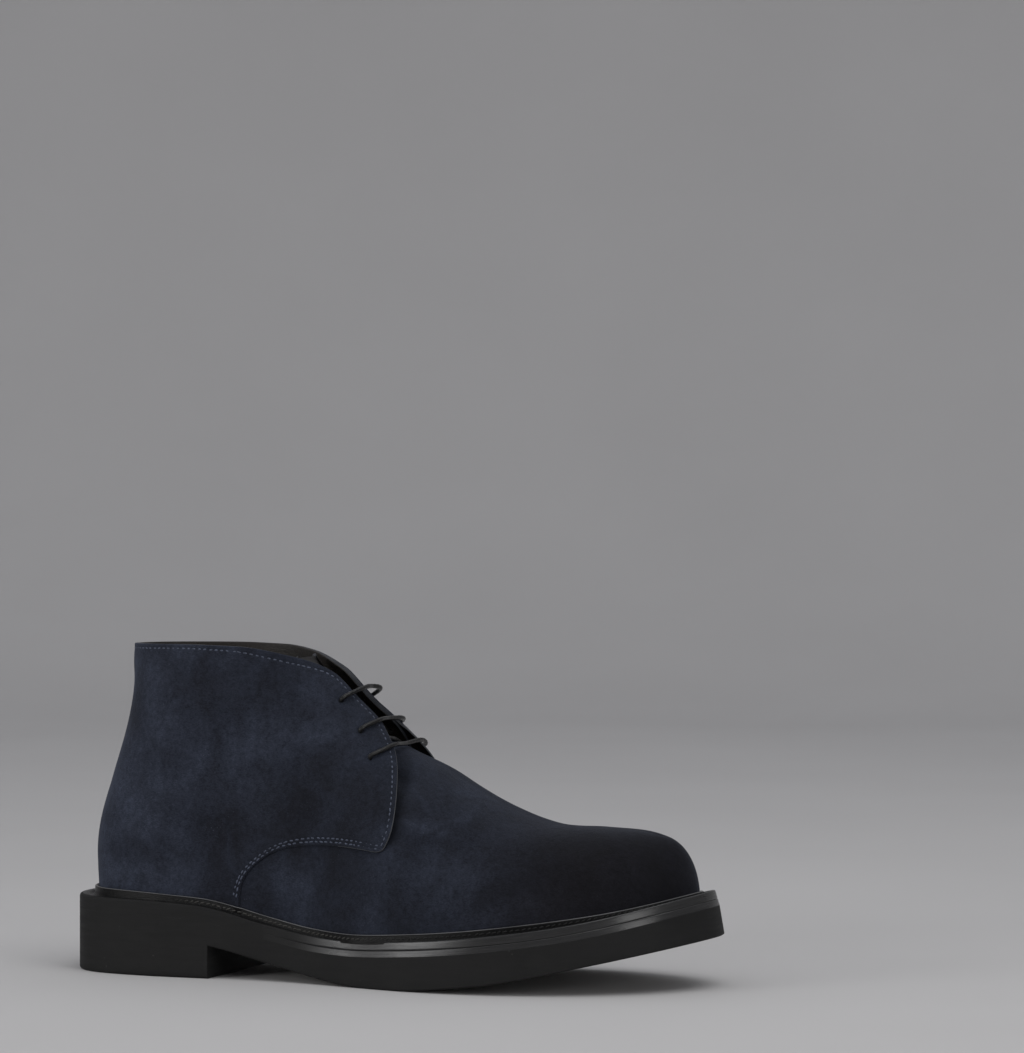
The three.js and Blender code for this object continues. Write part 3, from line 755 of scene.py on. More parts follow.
SUEDE = suede("navy_suede")
VAMP_SUEDE = suede("vamp_suede", gap=True)
UNDERSIDE = leather("suede_lining", (.016, .0135, .012), (.028, .023, .020))
PAINT = leather("painted_edge", (.024, .0262, .032), (.042, .0455, .055), (.34, .5), 1500, .0001, .3)
RUBBER = rubber("black_rubber")
BAND = edge_band("brushed_edge")
WELT_TOP = leather("welt_top", (.0022, .0022, .0024), (.0055, .0054, .0053), (.28, .42), 900, .00014, .12)
# painted highlight: a thin light line along the facing's edge on the quarter's outer face
FACING_EDGE_HIGHLIGHT = leather("painted_highlight_facing_edge", (.065, .068, .074), (.100, .105, .115), (.5, .62), 1500, .0001, .3)
# painted highlight: a light line for the welt rib's rounded top
RIB_HIGHLIGHT = leather("painted_highlight_welt_rib", (.060, .060, .061), (.190, .190, .192), (.3, .4), 1500, .0001, .35)
TONGUE_LEATHER = leather("tongue_leather", (.010, .0096, .0102), (.017, .016, .0165), (.45, .62), 700, .0002)
INSOLE_LEATHER = leather("insole_leather", (.022, .0165, .012), (.036, .028, .021), (.5, .68), 640, .0002)
THREAD = thread("blue_grey_thread", (.075, .088, .125))
DARK_THREAD = thread("welt_thread", (.060, .058, .052), .8)


def waxed(name):
    n = Nodes(name)
    cloud = n.noise(120, 3, .6)
    wax = n.noise(1400, 3, .6)
    tone = n.ramp(cloud, [(.3, (.006, .006, .0062)), (.7, (.012, .0118, .0116))])
    return n.finish(tone, n.between(cloud, .3, .7, .26, .42), bumps=[(wax, .22, .00012)],
                    Specular_IOR_Level=.3)


WAXED = waxed("waxed_cord")

# ------------------------------------------------------------------ camera, floor and light

camera = bpy.data.objects.new("camera", bpy.data.cameras.new("camera"))
camera.data.sensor_fit = "HORIZONTAL"
camera.data.sensor_width = 36
camera.data.lens = 126.56
camera.data.shift_y = 0.0327
camera.data.clip_end = 50
camera.location = (0.6006, -1.4953, 0.1862)
turn = math.radians(20)
looking = Vector((-math.sin(turn), math.cos(turn), 0))
camera.rotation_euler = looking.to_track_quat("-Z", "Y").to_euler()
scene.collection.objects.link(camera)
scene.camera = camera
scene.view_settings.view_transform = "Standard"


def stage():
    """A plain pale floor, round, that curves up into a wall and is open at the top."""
    flat, bend, height = 2.6, 1.4, 3.2
    profile = [(r, 0.0) for r in np.linspace(0, flat, 40)]
    profile += [(flat + bend * math.sin(a), bend - bend * math.cos(a))
                for a in np.linspace(0, math.pi / 2, 24)[1:]]
    profile += [(flat + bend, z) for z in np.linspace(bend, height, 8)[1:]]
    around = 96
    points = [(r * math.cos(2 * math.pi * k / around), r * math.sin(2 * math.pi * k / around), z)
              for r, z in profile for k in range(around)]
    points, faces, _ = merge(np.array(points) * 1000 - ORIGIN, grid_faces(len(profile), around, wrap=True))
    n = Nodes("pale_floor")
    cloud = n.noise(3, 3, .5)
    tone = n.ramp(cloud, [(.3, (.545, .535, .531)), (.7, (.565, .555, .551))])
    pale = n.finish(tone, n.between(cloud, .3, .7, .85, .95),
                    bumps=[(n.noise(260, 4, .6), .05, .0006)], Specular_IOR_Level=.2)
    floor = make_object("floor", points, faces, [pale])


stage()


def area(name, place, aim, size, power):
    light = bpy.data.lights.new(name, "AREA")
    light.shape = "RECTANGLE"
    light.size, light.size_y = size
    light.energy = power
    obj = bpy.data.objects.new(name, light)
    obj.location = place
    obj.rotation_euler = (Vector(aim) - Vector(place)).to_track_quat("-Z", "Y").to_euler()
    scene.collection.objects.link(obj)


area("key", (.7, -.5, 1.9), (0, 0, .05), (1.5, 1.2), 11.5)
area("front_left", (-1.4, -1.75, .56), (0, 0, .12), (.9, 1.0), 14.5)
area("right", (1.75, -1.15, .5), (.1, 0, .05), (.6, .9), 6.5)
world = bpy.data.worlds.new("studio")
scene.world = world
world.use_nodes = True
background = world.node_tree.nodes["Background"]
background.inputs["Color"].default_value = (.93, .95, 1.0, 1)
background.inputs["Strength"].default_value = .60

# ------------------------------------------------------------------ lace


def lace():
    through = []
    for hole in HOLES:
        pair = []
        for side in (-1, 1):
            rib, v = find([hole], side)
            t = turn_of(rib[0], side)
            pair.append(lambda out, t=t, v=v[0]: on_last(t, v, out))
        through.append(pair)
    outer, inner = 0, 1
    tuck = np.array([-4, 0, 2.5])
    points = [through[0][inner](-3.6) + tuck]
    for row in range(len(HOLES)):
        a, b = through[row][inner], through[row][outer]
        points += [a(-3.1), a(0), a(2.7), *BARS[row][::-1], b(2.7), b(0), b(-3.1)]
        if row + 1 < len(HOLES):
            points += SLOPES[row]
    points += [through[1][outer](-3.6) + np.array([-5, 0, -2.5]), through[0][outer](-3.6) + tuck]
    path = resample(spline(points, .4), np.linspace(0, 1, 560))
    run = lengths(path)
    thin = LACE / 2 * (1 + .03 * np.sin(run * .8) + .02 * np.sin(run * 2.3))
    p, f = tube(path, thin, 18, ridges=5, twist=2.4, depth=.09)
    obj = make_object("lace_cord", p, f, [WAXED], sharp=180)
    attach(obj, "root")
    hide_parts("lace")
    return run[-1]


lace_length = lace()

# ------------------------------------------------------------------ quarters and linings

Q = lambda v: np.arcsin(np.clip(v, 0, 1)) * 2 / np.pi
V = lambda q: np.sin(np.clip(q, 0, 1) * np.pi / 2)


def top_of(rib, side):
    """Height at which a rib is cut, by the top line or by the slot between the facings."""
    rib = np.asarray(rib, float)
    low, high = np.full(rib.shape, .4), np.ones(rib.shape)
    line = np.asarray(TOPLINE + [(159, 100.5), (163, 91.5)], float)
    for _ in range(40):
        mid = (low + high) / 2
        p = last(turn_of(rib, side), mid)
        inside = p[..., 2] < np.interp(p[..., 0], line[:, 0], line[:, 1])
        apart = side * p[..., 1] > side * SLOT[side]
        inside &= apart | (p[..., 2] < 96) | (p[..., 0] < 100)
        low, high = np.where(inside, mid, low), np.where(inside, high, mid)
    return low


def on_surface(path, side, offset=0.0):
    """3-D points of a path given as (rib, q)."""
    return on_last(turn_of(path[:, 0], side), V(path[:, 1]), np.full(len(path), offset))


def side_view_path(points, side):
    rib, v = find(spline(points, .6), side)
    return np.stack([rib, Q(v)], -1)


def facing_corner(side):
    """The rib at which the slot's edge meets the facing."""
    ribs = np.linspace(6.9, 8.3, 400)
    v = top_of(ribs, side)
    p = last(turn_of(ribs, side), v)
    line = np.array([(147, 115), (152, 109), (159, 100.5), (163, 91.5)])
    touching = np.abs(p[:, 2] - np.interp(p[:, 0], line[:, 0], line[:, 1])) < .02
    slot_edge = (np.abs(p[:, 1] - SLOT[side]) < .05)
    both = np.where(slot_edge & (p[:, 0] > 148))[0]
    i = both[-1] if len(both) else np.where(touching)[0][0]
    return ribs[i], (p[i, 0], p[i, 2])


class Patch:
    """A four-sided piece of the last: bottom along the welt, right along a seam, top along the
    top line and, for a quarter, down the facing; left at the centre of the back."""

    def __init__(self, side, right, top_tail, top_end_rib, top_share):
        self.side = side
        ribs = np.linspace(0, top_end_rib, 500)
        top = np.stack([ribs, Q(top_of(ribs, side))], -1)
        break_at = lengths(on_surface(top, side))[-1]
        if len(top_tail):
            top = np.vstack([top, top_tail])
        top = self.ease(top)
        q_top = top[0, 1]
        foot_rib = right[0, 0]
        self.bottom = self.prepare(np.stack([np.linspace(0, foot_rib, 300), np.zeros(300)], -1))
        self.left = self.prepare(np.stack([np.zeros(200), np.linspace(0, q_top, 200)], -1))
        self.right = self.prepare(right)
        self.top = self.prepare(top)
        run = lengths(on_surface(top, side))
        self.top_break = min(1.0, break_at / run[-1]) if len(top_tail) else 1.0
        self.top_share = top_share if len(top_tail) else 1.0

    def ease(self, path):
        """The path with its corners rounded over a few millimetres."""
        run = lengths(on_surface(path, self.side))
        s = np.linspace(0, run[-1], 800)
        p = np.stack([np.interp(s, run, path[:, 0]), np.interp(s, run, path[:, 1])], -1)
        for _ in range(420):
            p[1:-1] = (p[:-2] + 2 * p[1:-1] + p[2:]) / 4
        return p

    def prepare(self, path):
        return path, lengths(on_surface(path, self.side))

    def at(self, which, s):
        path, run = which
        s = np.clip(s, 0, 1) * run[-1]
        return np.stack([np.interp(s, run, path[:, 0]), np.interp(s, run, path[:, 1])], -1)

    def top_at(self, u):
        a, b = self.top_share, self.top_break
        s = np.where(u < a, u / a * b, b + (u - a) / max(1e-6, 1 - a) * (1 - b))
        return self.at(self.top, s)

    def map(self, u, w):
        """(rib, q) of the patch at u along and w up."""
        u, w = np.broadcast_arrays(u, w)
        uu, ww = u[..., None], w[..., None]
        b, t = self.at(self.bottom, u), self.top_at(u)
        lft, rgt = self.at(self.left, w), self.at(self.right, w)
        a00, a10 = self.at(self.bottom, np.float64(0)), self.at(self.bottom, np.float64(1))
        a01, a11 = self.top_at(np.float64(0)), self.top_at(np.float64(1))
        return ((1 - ww) * b + ww * t + (1 - uu) * lft + uu * rgt
                - (1 - uu) * (1 - ww) * a00 - uu * (1 - ww) * a10 - (1 - uu) * ww * a01 - uu * ww * a11)

    def place(self, u, w, offset):
        rq = self.map(u, w)
        return on_last(turn_of(rq[..., 0], self.side), V(rq[..., 1]), np.broadcast_to(offset, rq.shape[:-1]))

    def measure(self):
        """Lengths of the lines along and up, as functions."""
        g = np.linspace(0, 1, 41)
        p = self.place(g[None, :], g[:, None], 0.0)
        self.wide = np.linalg.norm(np.diff(p, axis=1), axis=2).sum(1)
        self.high = np.linalg.norm(np.diff(p, axis=0), axis=2).sum(0)
        self.g = g

    def width(self, w):
        return np.interp(w, self.g, self.wide)

    def height(self, u):
        return np.interp(u, self.g, self.high)


def steps_for(length, near, far, middle):
    """Fractions along a line of the given length: close to both ends at set distances."""
    length = np.asarray(length, float)[..., None]
    a = np.asarray(near) / length
    b = 1 - np.asarray(far)[::-1] / length
    m = np.linspace(0, 1, middle + 2)[1:-1]
    inner = a[..., -1:] + (b[..., :1] - a[..., -1:]) * m
    return np.concatenate([a, inner, b], -1)


EDGE = [0, .1, .25, .45, .75, 1.1, 1.5, 1.9, 2.3, 2.7, 3.2, 3.7, 4.1, 4.6, 5.3, 6.2]
SHORT_EDGE = [0, .1, .25, .45, .8, 1.4, 2.2]
ROW_FACING = 2.3
ROW_SEAM = (2.0, 4.1)


def groove(d, at, depth=.17, width=.6):
    return -depth * np.exp(-((d - at) / width) ** 2)


def rounded(d, r=.5):
    c = r - np.minimum(d, r)
    return -(r - np.sqrt(np.maximum(0, r * r - c * c)))


def vamp_back_x(z, side):
    table = np.asarray(VAMP_BACK + [(THROAT_X, 120)], float)
    return np.interp(z, table[:, 1], table[:, 0])


hole_centres = {side: [last(turn_of(r, side), v) for r, v in zip(*find(HOLES, side))]
                for side in (-1, 1)}


def punch(points, side, keep):
    """Opens the lace holes in a grid: drops the cells in each hole and rounds its border."""
    for centre in hole_centres[side]:
        d = points - centre
        away = np.linalg.norm(d, axis=-1)
        middle = (away[:-1, :-1] + away[1:, :-1] + away[:-1, 1:] + away[1:, 1:]) / 4
        gone = middle < HOLE / 2 * .93
        keep[gone] = False
        inside = np.zeros(away.shape, bool)
        inside[:-1, :-1] |= gone
        inside[1:, :-1] |= gone
        inside[:-1, 1:] |= gone
        inside[1:, 1:] |= gone
        r = HOLE / 2
        pull = np.where(inside, r / np.maximum(away, 1e-6), 1.0)
        near = (~inside) & (away < r * 1.9)
        soft = r + (np.maximum(away, r * .8) - r * .8) * (1.9 * r - r) / (1.9 * r - r * .8)
        pull = np.where(near, soft / np.maximum(away, 1e-6), pull)
        points[...] = centre + d * pull[..., None]
    return keep


def quarter(side):
    corner_rib, corner_xz = facing_corner(side)
    right = side_view_path([CORNER, *SEAM][::-1], side)
    right = np.vstack([[right[0, 0], 0.0], right]) if right[0, 1] > 1e-4 else right
    tail = side_view_path([corner_xz, *FACING[::-1], CORNER], side)[3:]
    p = Patch(side, right, tail, corner_rib, .58)
    p.measure()
    rows, columns = 118, 176
    # fractions: columns between back (0) and seam (1), rows between welt (0) and top (1)
    W = np.empty((rows, columns))
    U = np.empty((rows, columns))
    j = np.linspace(0, 1, rows)
    i = np.linspace(0, 1, columns)
    near_u, far_u = SHORT_EDGE, EDGE
    near_w, far_w = [0, .8], EDGE
    for r in range(rows):
        U[r] = steps_for(p.width(j[r]), near_u, far_u, columns - len(near_u) - len(far_u))
    for c in range(columns):
        W[:, c] = steps_for(p.height(i[c]), near_w, far_w, rows - len(near_w) - len(far_w))
    d_seam = (1 - U) * p.width(W)
    d_top = (1 - W) * p.height(U)
    d_back = U * p.width(W)
    edge = np.minimum(np.minimum(d_seam, d_top), d_back)
    lift = rounded(edge) + groove(d_top, ROW_FACING)
    for at in ROW_SEAM:
        lift = lift + groove(d_seam, at)
    plain = p.place(U, W, 0.0)
    lift = lift + shaping(plain, side) * smooth(edge / 9) + .35 * np.exp(-((d_top - 9) / 6) ** 2)
    outer = p.place(U, W, OVERLAY + lift)
    over = smooth((plain[..., 0] - vamp_back_x(plain[..., 2], side) + 3.5) / 3)
    inner = p.place(U, W, -.35 + over * .42)
    keep = punch(outer, side, np.ones((rows - 1, columns - 1), bool))
    punch(inner, side, keep.copy())
    name = "quarter_outer" if side < 0 else "quarter_inner"
    edge_mid = (np.minimum(d_seam, d_top)[:-1, :-1] + np.minimum(d_seam, d_top)[1:, 1:]) / 2
    # painted highlight: cells within 0.3 mm of the facing's edge take a lighter material
    pale = (edge_mid < .3) & (plain[:-1, :-1, 0] > 140) & (plain[:-1, :-1, 2] < 112)
    obj = sheet(name, outer, inner, [SUEDE, UNDERSIDE, PAINT, FACING_EDGE_HIGHLIGHT], keep=keep, flip=side > 0,
                rim=[(.35, 0.0), (.62, .03), (.85, -.02)], pale=pale)
    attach(obj, "root")
    rows_out = []

    def row(u, w, pitch, slant=.0):
        u, w = np.broadcast_arrays(np.asarray(u, float), np.asarray(w, float))
        rq = p.map(u, w)
        n = normal(turn_of(rq[:, 0], side), V(rq[:, 1]))
        base = p.place(u, w, 0.0)
        extra = shaping(base, side) * smooth(ROW_FACING / 9)
        rows_out.append((base + n * (OVERLAY + extra[:, None] - .06), n, pitch, slant))

    # collar and facing: one row, a set distance inside the edge
    u = np.linspace(.004, .985, 900)
    row(u, 1 - ROW_FACING / p.height(u), 2.7)
    # two rows inside the lower seam, from the welt to the facing
    for at in ROW_SEAM:
        w = np.linspace(.10, 1, 700)
        w = w[(1 - w) * p.height(1 - at / p.width(w)) > 3.0]
        row(1 - at / p.width(w), w, 2.8)
    # one row beside the seam at the centre of the back
    w = np.linspace(.09, .97, 700)
    row(1.9 / p.width(w), w, 2.8)
    # a short row at the facing, inside the two above the lower seam
    w_top = 1 - np.linspace(2.9, 9.6, 60) / p.height(.9)
    row(1 - 9.8 / p.width(w_top), w_top, 1.7)
    return obj, rows_out


quarter_out, outer_rows = quarter(-1)
_, inner_rows = quarter(1)
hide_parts("upper")
stitches("upper_stitching", outer_rows + inner_rows, THREAD, .62, .7, .28)


def lining(side):
    """The quarter's leather lining, from the back to the vamp's hidden edge."""
    corner_rib, _ = facing_corner(side)
    ribs = np.linspace(6.6, corner_rib, 300)
    p_top = last(turn_of(ribs, side), top_of(ribs, side))
    end = ribs[np.argmin(np.abs(p_top[:, 0] - (THROAT_X - .4)))]
    right = side_view_path([(x - .5, z) for x, z in VAMP_BACK], side)
    end_q = Q(top_of(np.array([end]), side))[0]
    tail = np.stack([np.linspace(right[-1, 0], end, 14)[1:],
                     np.linspace(right[-1, 1], end_q, 14)[1:]], -1)
    right = np.vstack([[right[0, 0], 0.0], right, tail])
    p = Patch(side, right, [], end, 1.0)
    p.measure()
    rows, columns = 64, 90
    j, i = np.linspace(0, 1, rows), np.linspace(0, 1, columns)
    U = np.array([steps_for(p.width(a), [0, .2, .6], [0, .2, .6], columns - 6) for a in j])
    near_top = [0, .1, .25, .5, .9, 1.5, 2.3, 3.2]
    W = np.stack([steps_for(p.height(a), [0, .8], near_top, rows - 2 - len(near_top)) for a in i], -1)
    d_top = (1 - W) * p.height(U)
    plain = p.place(U, W, 0.0)
    move = shaping(plain, side) * smooth(d_top / 9)
    lip = rounded(d_top, .45)
    outer = p.place(U, W, -.42 + move)
    inner = p.place(U, W, -WALL + move - lip)
    keep = punch(outer, side, np.ones((rows - 1, columns - 1), bool))
    punch(inner, side, keep.copy())
    obj = sheet("lining_outer" if side < 0 else "lining_inner", outer, inner,
                [UNDERSIDE, UNDERSIDE, PAINT], keep=keep, flip=side > 0)
    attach(obj, "root")


lining(-1)
lining(1)

# ------------------------------------------------------------------ vamp


def vamp():
    rows, half = 84, 170
    q = np.linspace(0, 1, rows)
    v = V(q)
    back = {}
    for side in (-1, 1):
        path = side_view_path(VAMP_BACK, side)
        path = np.vstack([[path[0, 0], 0.0], path])
        ribs = np.linspace(6.8, 8.2, 300)
        ridge_rib = ribs[np.argmin(np.abs(last(ribs, 1.0)[:, 0] - THROAT_X))]
        path = np.vstack([path, [ridge_rib, 1.0]])
        order = np.argsort(path[:, 1])
        back[side] = np.interp(q, path[order, 1], path[order, 0])
    columns = 2 * half + 1
    f = np.linspace(0, 1, half + 1)
    f = f * .93 + .07 * f ** 2
    t = np.empty((rows, columns))
    t[:, :half + 1] = back[-1][:, None] + (RING / 2 - back[-1][:, None]) * f
    t[:, half:] = (RING - back[1][:, None] - (RING / 2 - back[1][:, None]) * f)[:, ::-1]
    vv = np.repeat(v[:, None], columns, 1)
    rib = np.minimum(t, RING - t)
    dip = 6.5 * smooth((8.45 - rib) / 1.1) * smooth((vv - .74) / .14)
    plain = last(t, vv)
    sign = np.where(t <= RING / 2, -1, 1)
    soft = shaping(plain, sign) * smooth((1 - vv) / .1 + .35) * smooth((rib - 7.2) / .8)
    soft[-1] = (soft[-1] + soft[-1][::-1]) / 2
    facing = np.asarray([CORNER, *FACING], float)
    beside = plain[..., 0] - np.interp(plain[..., 2], facing[:, 1], facing[:, 0])
    soft = soft - 1.4 * np.exp(-((beside - .8) / 3.6) ** 2) * smooth((plain[..., 2] - 57) / 8) \
        * smooth((104 - plain[..., 2]) / 12)
    outer = on_last(t, vv, -dip + soft)
    inner = on_last(t, vv, -dip + soft - WALL)
    for grid in (outer, inner):
        grid[-1] = (grid[-1] + grid[-1][::-1]) / 2
        for _ in range(3):
            g = grid.copy()
            g[1:-1, 1:-1] = (grid[:-2, 1:-1] + grid[2:, 1:-1] + grid[1:-1, :-2]
                             + grid[1:-1, 2:]) / 8 + grid[1:-1, 1:-1] / 2
            top = (grid[-2] + grid[-2][::-1]) / 4 + grid[-1] / 2
            g[-1, 1:-1] = top[1:-1]
            grid[...] = g
    obj = sheet("vamp", outer, inner, [VAMP_SUEDE, UNDERSIDE, PAINT], rim=[(.3, 0.0), (.7, 0.0)],
                joined_top=True)
    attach(obj, "root")


vamp()

# ------------------------------------------------------------------ tongue and insole


def tongue():
    table = np.asarray(TONGUE_ROWS, float)
    ribs = np.linspace(table[0, 0], table[-1, 0], 48)
    across = 44
    grids = []
    for deep in (0.0, TONGUE):
        lines = []
        for rib in ribs:
            reach, depth = along(table, rib, 1), along(table, rib, 2)
            corner = np.clip((rib - table[0, 0]) / .5, 0, 1)
            reach = 1 - (1 - reach) * (.35 + .65 * np.sqrt(1 - (1 - corner) ** 2))
            line = []
            for side in (-1, 1):
                step = np.linspace(0, 1, across + 1)
                step = step if side < 0 else step[::-1]
                v = reach + (1 - reach) * np.sin(step * np.pi / 2)
                v = np.where(step > .999, 1.0, v)
                d = np.minimum(step, 1) * 60
                soft = .5 * np.sin(rib * 7 + step * 2) * step
                p = on_last(np.full(across + 1, turn_of(rib, side)), v, -depth - deep + soft
                            + (rounded(np.minimum(d, 3), .5) if deep == 0 else 0))
                line.append(p)
            mid = (line[0][-1] + line[1][0]) / 2
            lines.append(np.vstack([line[0][:-1], mid, line[1][1:]]))
        grids.append(np.array(lines))
    obj = sheet("tongue_piece", grids[0], grids[1], [TONGUE_LEATHER, UNDERSIDE, PAINT], flip=True,
                rim=[(.3, .12), (.7, .12)])
    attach(obj, "root")
    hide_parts("tongue")


tongue()


def foot_curve(offset, height, turns):
    """The last's outline at a height over the welt's top, moved out by offset."""
    x = read_ring(rib_ring, turns)
    foot = along(SOLE_TOP, x[..., 0]) - WELT
    v = (WELT + height) / (x[..., 3] - foot)
    return on_last(turns, v, np.full(np.shape(turns), offset))


def insole():
    across, columns = 30, 220
    f = np.linspace(0, 1, columns)
    ribs = 14 * (f + .012 * np.sin(2 * np.pi * f))
    grids = []
    for low in (0.0, 1.0):
        outer = foot_curve(-WALL - GAP - .1, 0, ribs)
        inner = foot_curve(-WALL - GAP - .1, 0, (RING - ribs) % RING)
        s = np.linspace(0, 1, across)[None, :, None]
        p = outer[:, None] * (1 - s) + inner[:, None] * s
        centre = np.minimum(s[..., 0], 1 - s[..., 0]) * 2
        base = along(SOLE_TOP, p[..., 0]) - WELT
        edge = smooth(centre / .16)
        heel_cup = .9 * np.exp(-((p[..., 0] - 48) / 26) ** 2) * edge
        p[..., 2] = base + (.7 if low else 3.35 + .25 * edge - heel_cup)
        grids.append(p)
    obj = sheet("insole_board", grids[0], grids[1], [INSOLE_LEATHER, INSOLE_LEATHER, PAINT], flip=True)
    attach(obj, "root")
    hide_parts("insole")


insole()

# ------------------------------------------------------------------ sole

STATIONS = 340
POLISHED_FROM = 104  # the edge is left matt behind this x


def sole_stations():
    """Outline points at the same x on both sides, from the heel's back to the toe's tip."""
    n = len(sole_ring) // 2
    t = np.linspace(0, n, 4000)
    p = read_ring(sole_ring, t)
    x = np.maximum.accumulate(p[:, 0])
    run = lengths(p)
    at = np.interp(np.linspace(0, run[-1], STATIONS), run, t)
    xs = np.interp(at, t, x)
    xs[np.argmin(np.abs(xs - BREAST_X))] = BREAST_X
    t_out = np.interp(xs, x, t)
    t_in = np.linspace(n, 2 * n, 4000)
    q = read_ring(sole_ring, t_in)
    t_inner = np.interp(-xs[::-1], -np.maximum.accumulate(q[::-1, 0])[::-1], t_in)[::-1]
    out = read_ring(sole_ring, t_out)
    inn = read_ring(sole_ring, t_inner)
    inn[0], inn[-1] = out[0], out[-1]
    inn[:, 0] = out[:, 0] = xs
    return out, inn


side_out, side_in = sole_stations()
ring_xy = np.vstack([side_out, side_in[1:-1][::-1]])
tangent_xy = unit(np.roll(ring_xy, -1, 0) - np.roll(ring_xy, 1, 0))
out_xy = np.stack([tangent_xy[:, 1], -tangent_xy[:, 0]], -1)
ring_run = lengths(np.vstack([ring_xy, ring_xy[:1]]))[:-1]
N = len(ring_xy)


def front_share(x, low=96, high=132):
    return smooth((x - low) / (high - low))


def wall_point(depth, inward=0.0):
    """The sole's side wall, a depth below the welt's top face, moved inwards."""
    x, y = ring_xy[:, 0], ring_xy[:, 1]
    top = along(SOLE_TOP, x)
    thick = top - np.maximum(0, along(TREAD, x))
    down = np.asarray(depth, float) / thick
    lean = TOE_LEAN * smooth((x - TOE_LEAN_START) / (SOLE_LENGTH - TOE_LEAN_START))
    p = np.stack([x - lean * (1 - np.maximum(0, down)), y, top - thick * down], -1)
    bevel = .8 * np.clip(1 - np.asarray(depth, float) / (WELT + MIDSOLE + GAP), 0, 1) * front_share(x)
    p[:, :2] -= out_xy * (np.asarray(inward, float) + bevel).reshape(-1, 1)
    return p


def matching_foot():
    """For each sole station, the last's outline straight inwards of it."""
    turns = np.linspace(0, RING, 2800, endpoint=False)
    curve = foot_curve(0, 0, turns)[:, :2]
    best = np.zeros(N)
    for k in range(N):
        d = curve - ring_xy[k]
        across = d @ tangent_xy[k]
        depth = -(d @ out_xy[k])
        change = np.where((across[:-1] * across[1:] <= 0) & (depth[:-1] > 0))[0]
        c = change[np.argmin(depth[change])] if len(change) else int(np.argmin((d ** 2).sum(1)))
        f = across[c] / (across[c] - across[c + 1]) if len(change) else 0
        best[k] = turns[c] + f * (turns[1] - turns[0])
    return best


foot_turn = matching_foot()
angle = np.unwrap(foot_turn / RING * 2 * np.pi)
for _ in range(8):
    pad = np.concatenate([[angle[-1] - 2 * np.pi], angle, [angle[0] + 2 * np.pi]])
    angle = (pad[:-2] + 2 * pad[1:-1] + pad[2:]) / 4
foot_turn = (angle / (2 * np.pi) * RING) % RING


def over_quarter(x):
    """1 where the quarter lies outside, 0 where the vamp does."""
    return 1 - smooth((x - 89.2) / 1.6)


def loop_mesh(name, rings, materials, index_of, replaced=None, uv_down=None, sharp=45):
    """A closed ring-shaped piece through loops of points round the sole."""
    count = len(rings)
    points = np.vstack(rings)
    faces, index = [], []
    for j in range(count):
        a, b = j * N, ((j + 1) % count) * N
        for k in range(N):
            m = (k + 1) % N
            faces.append((a + k, b + k, b + m, a + m))
            index.append(index_of(j, k))
    uv = np.vstack([np.stack([ring_run, np.full(N, uv_down[j] if uv_down else 0)], -1) for j in range(count)])
    obj = make_object(name, points, faces, materials, index, uv, sharp)
    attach(obj, "root")
    if replaced:
        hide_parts(replaced)
    return obj


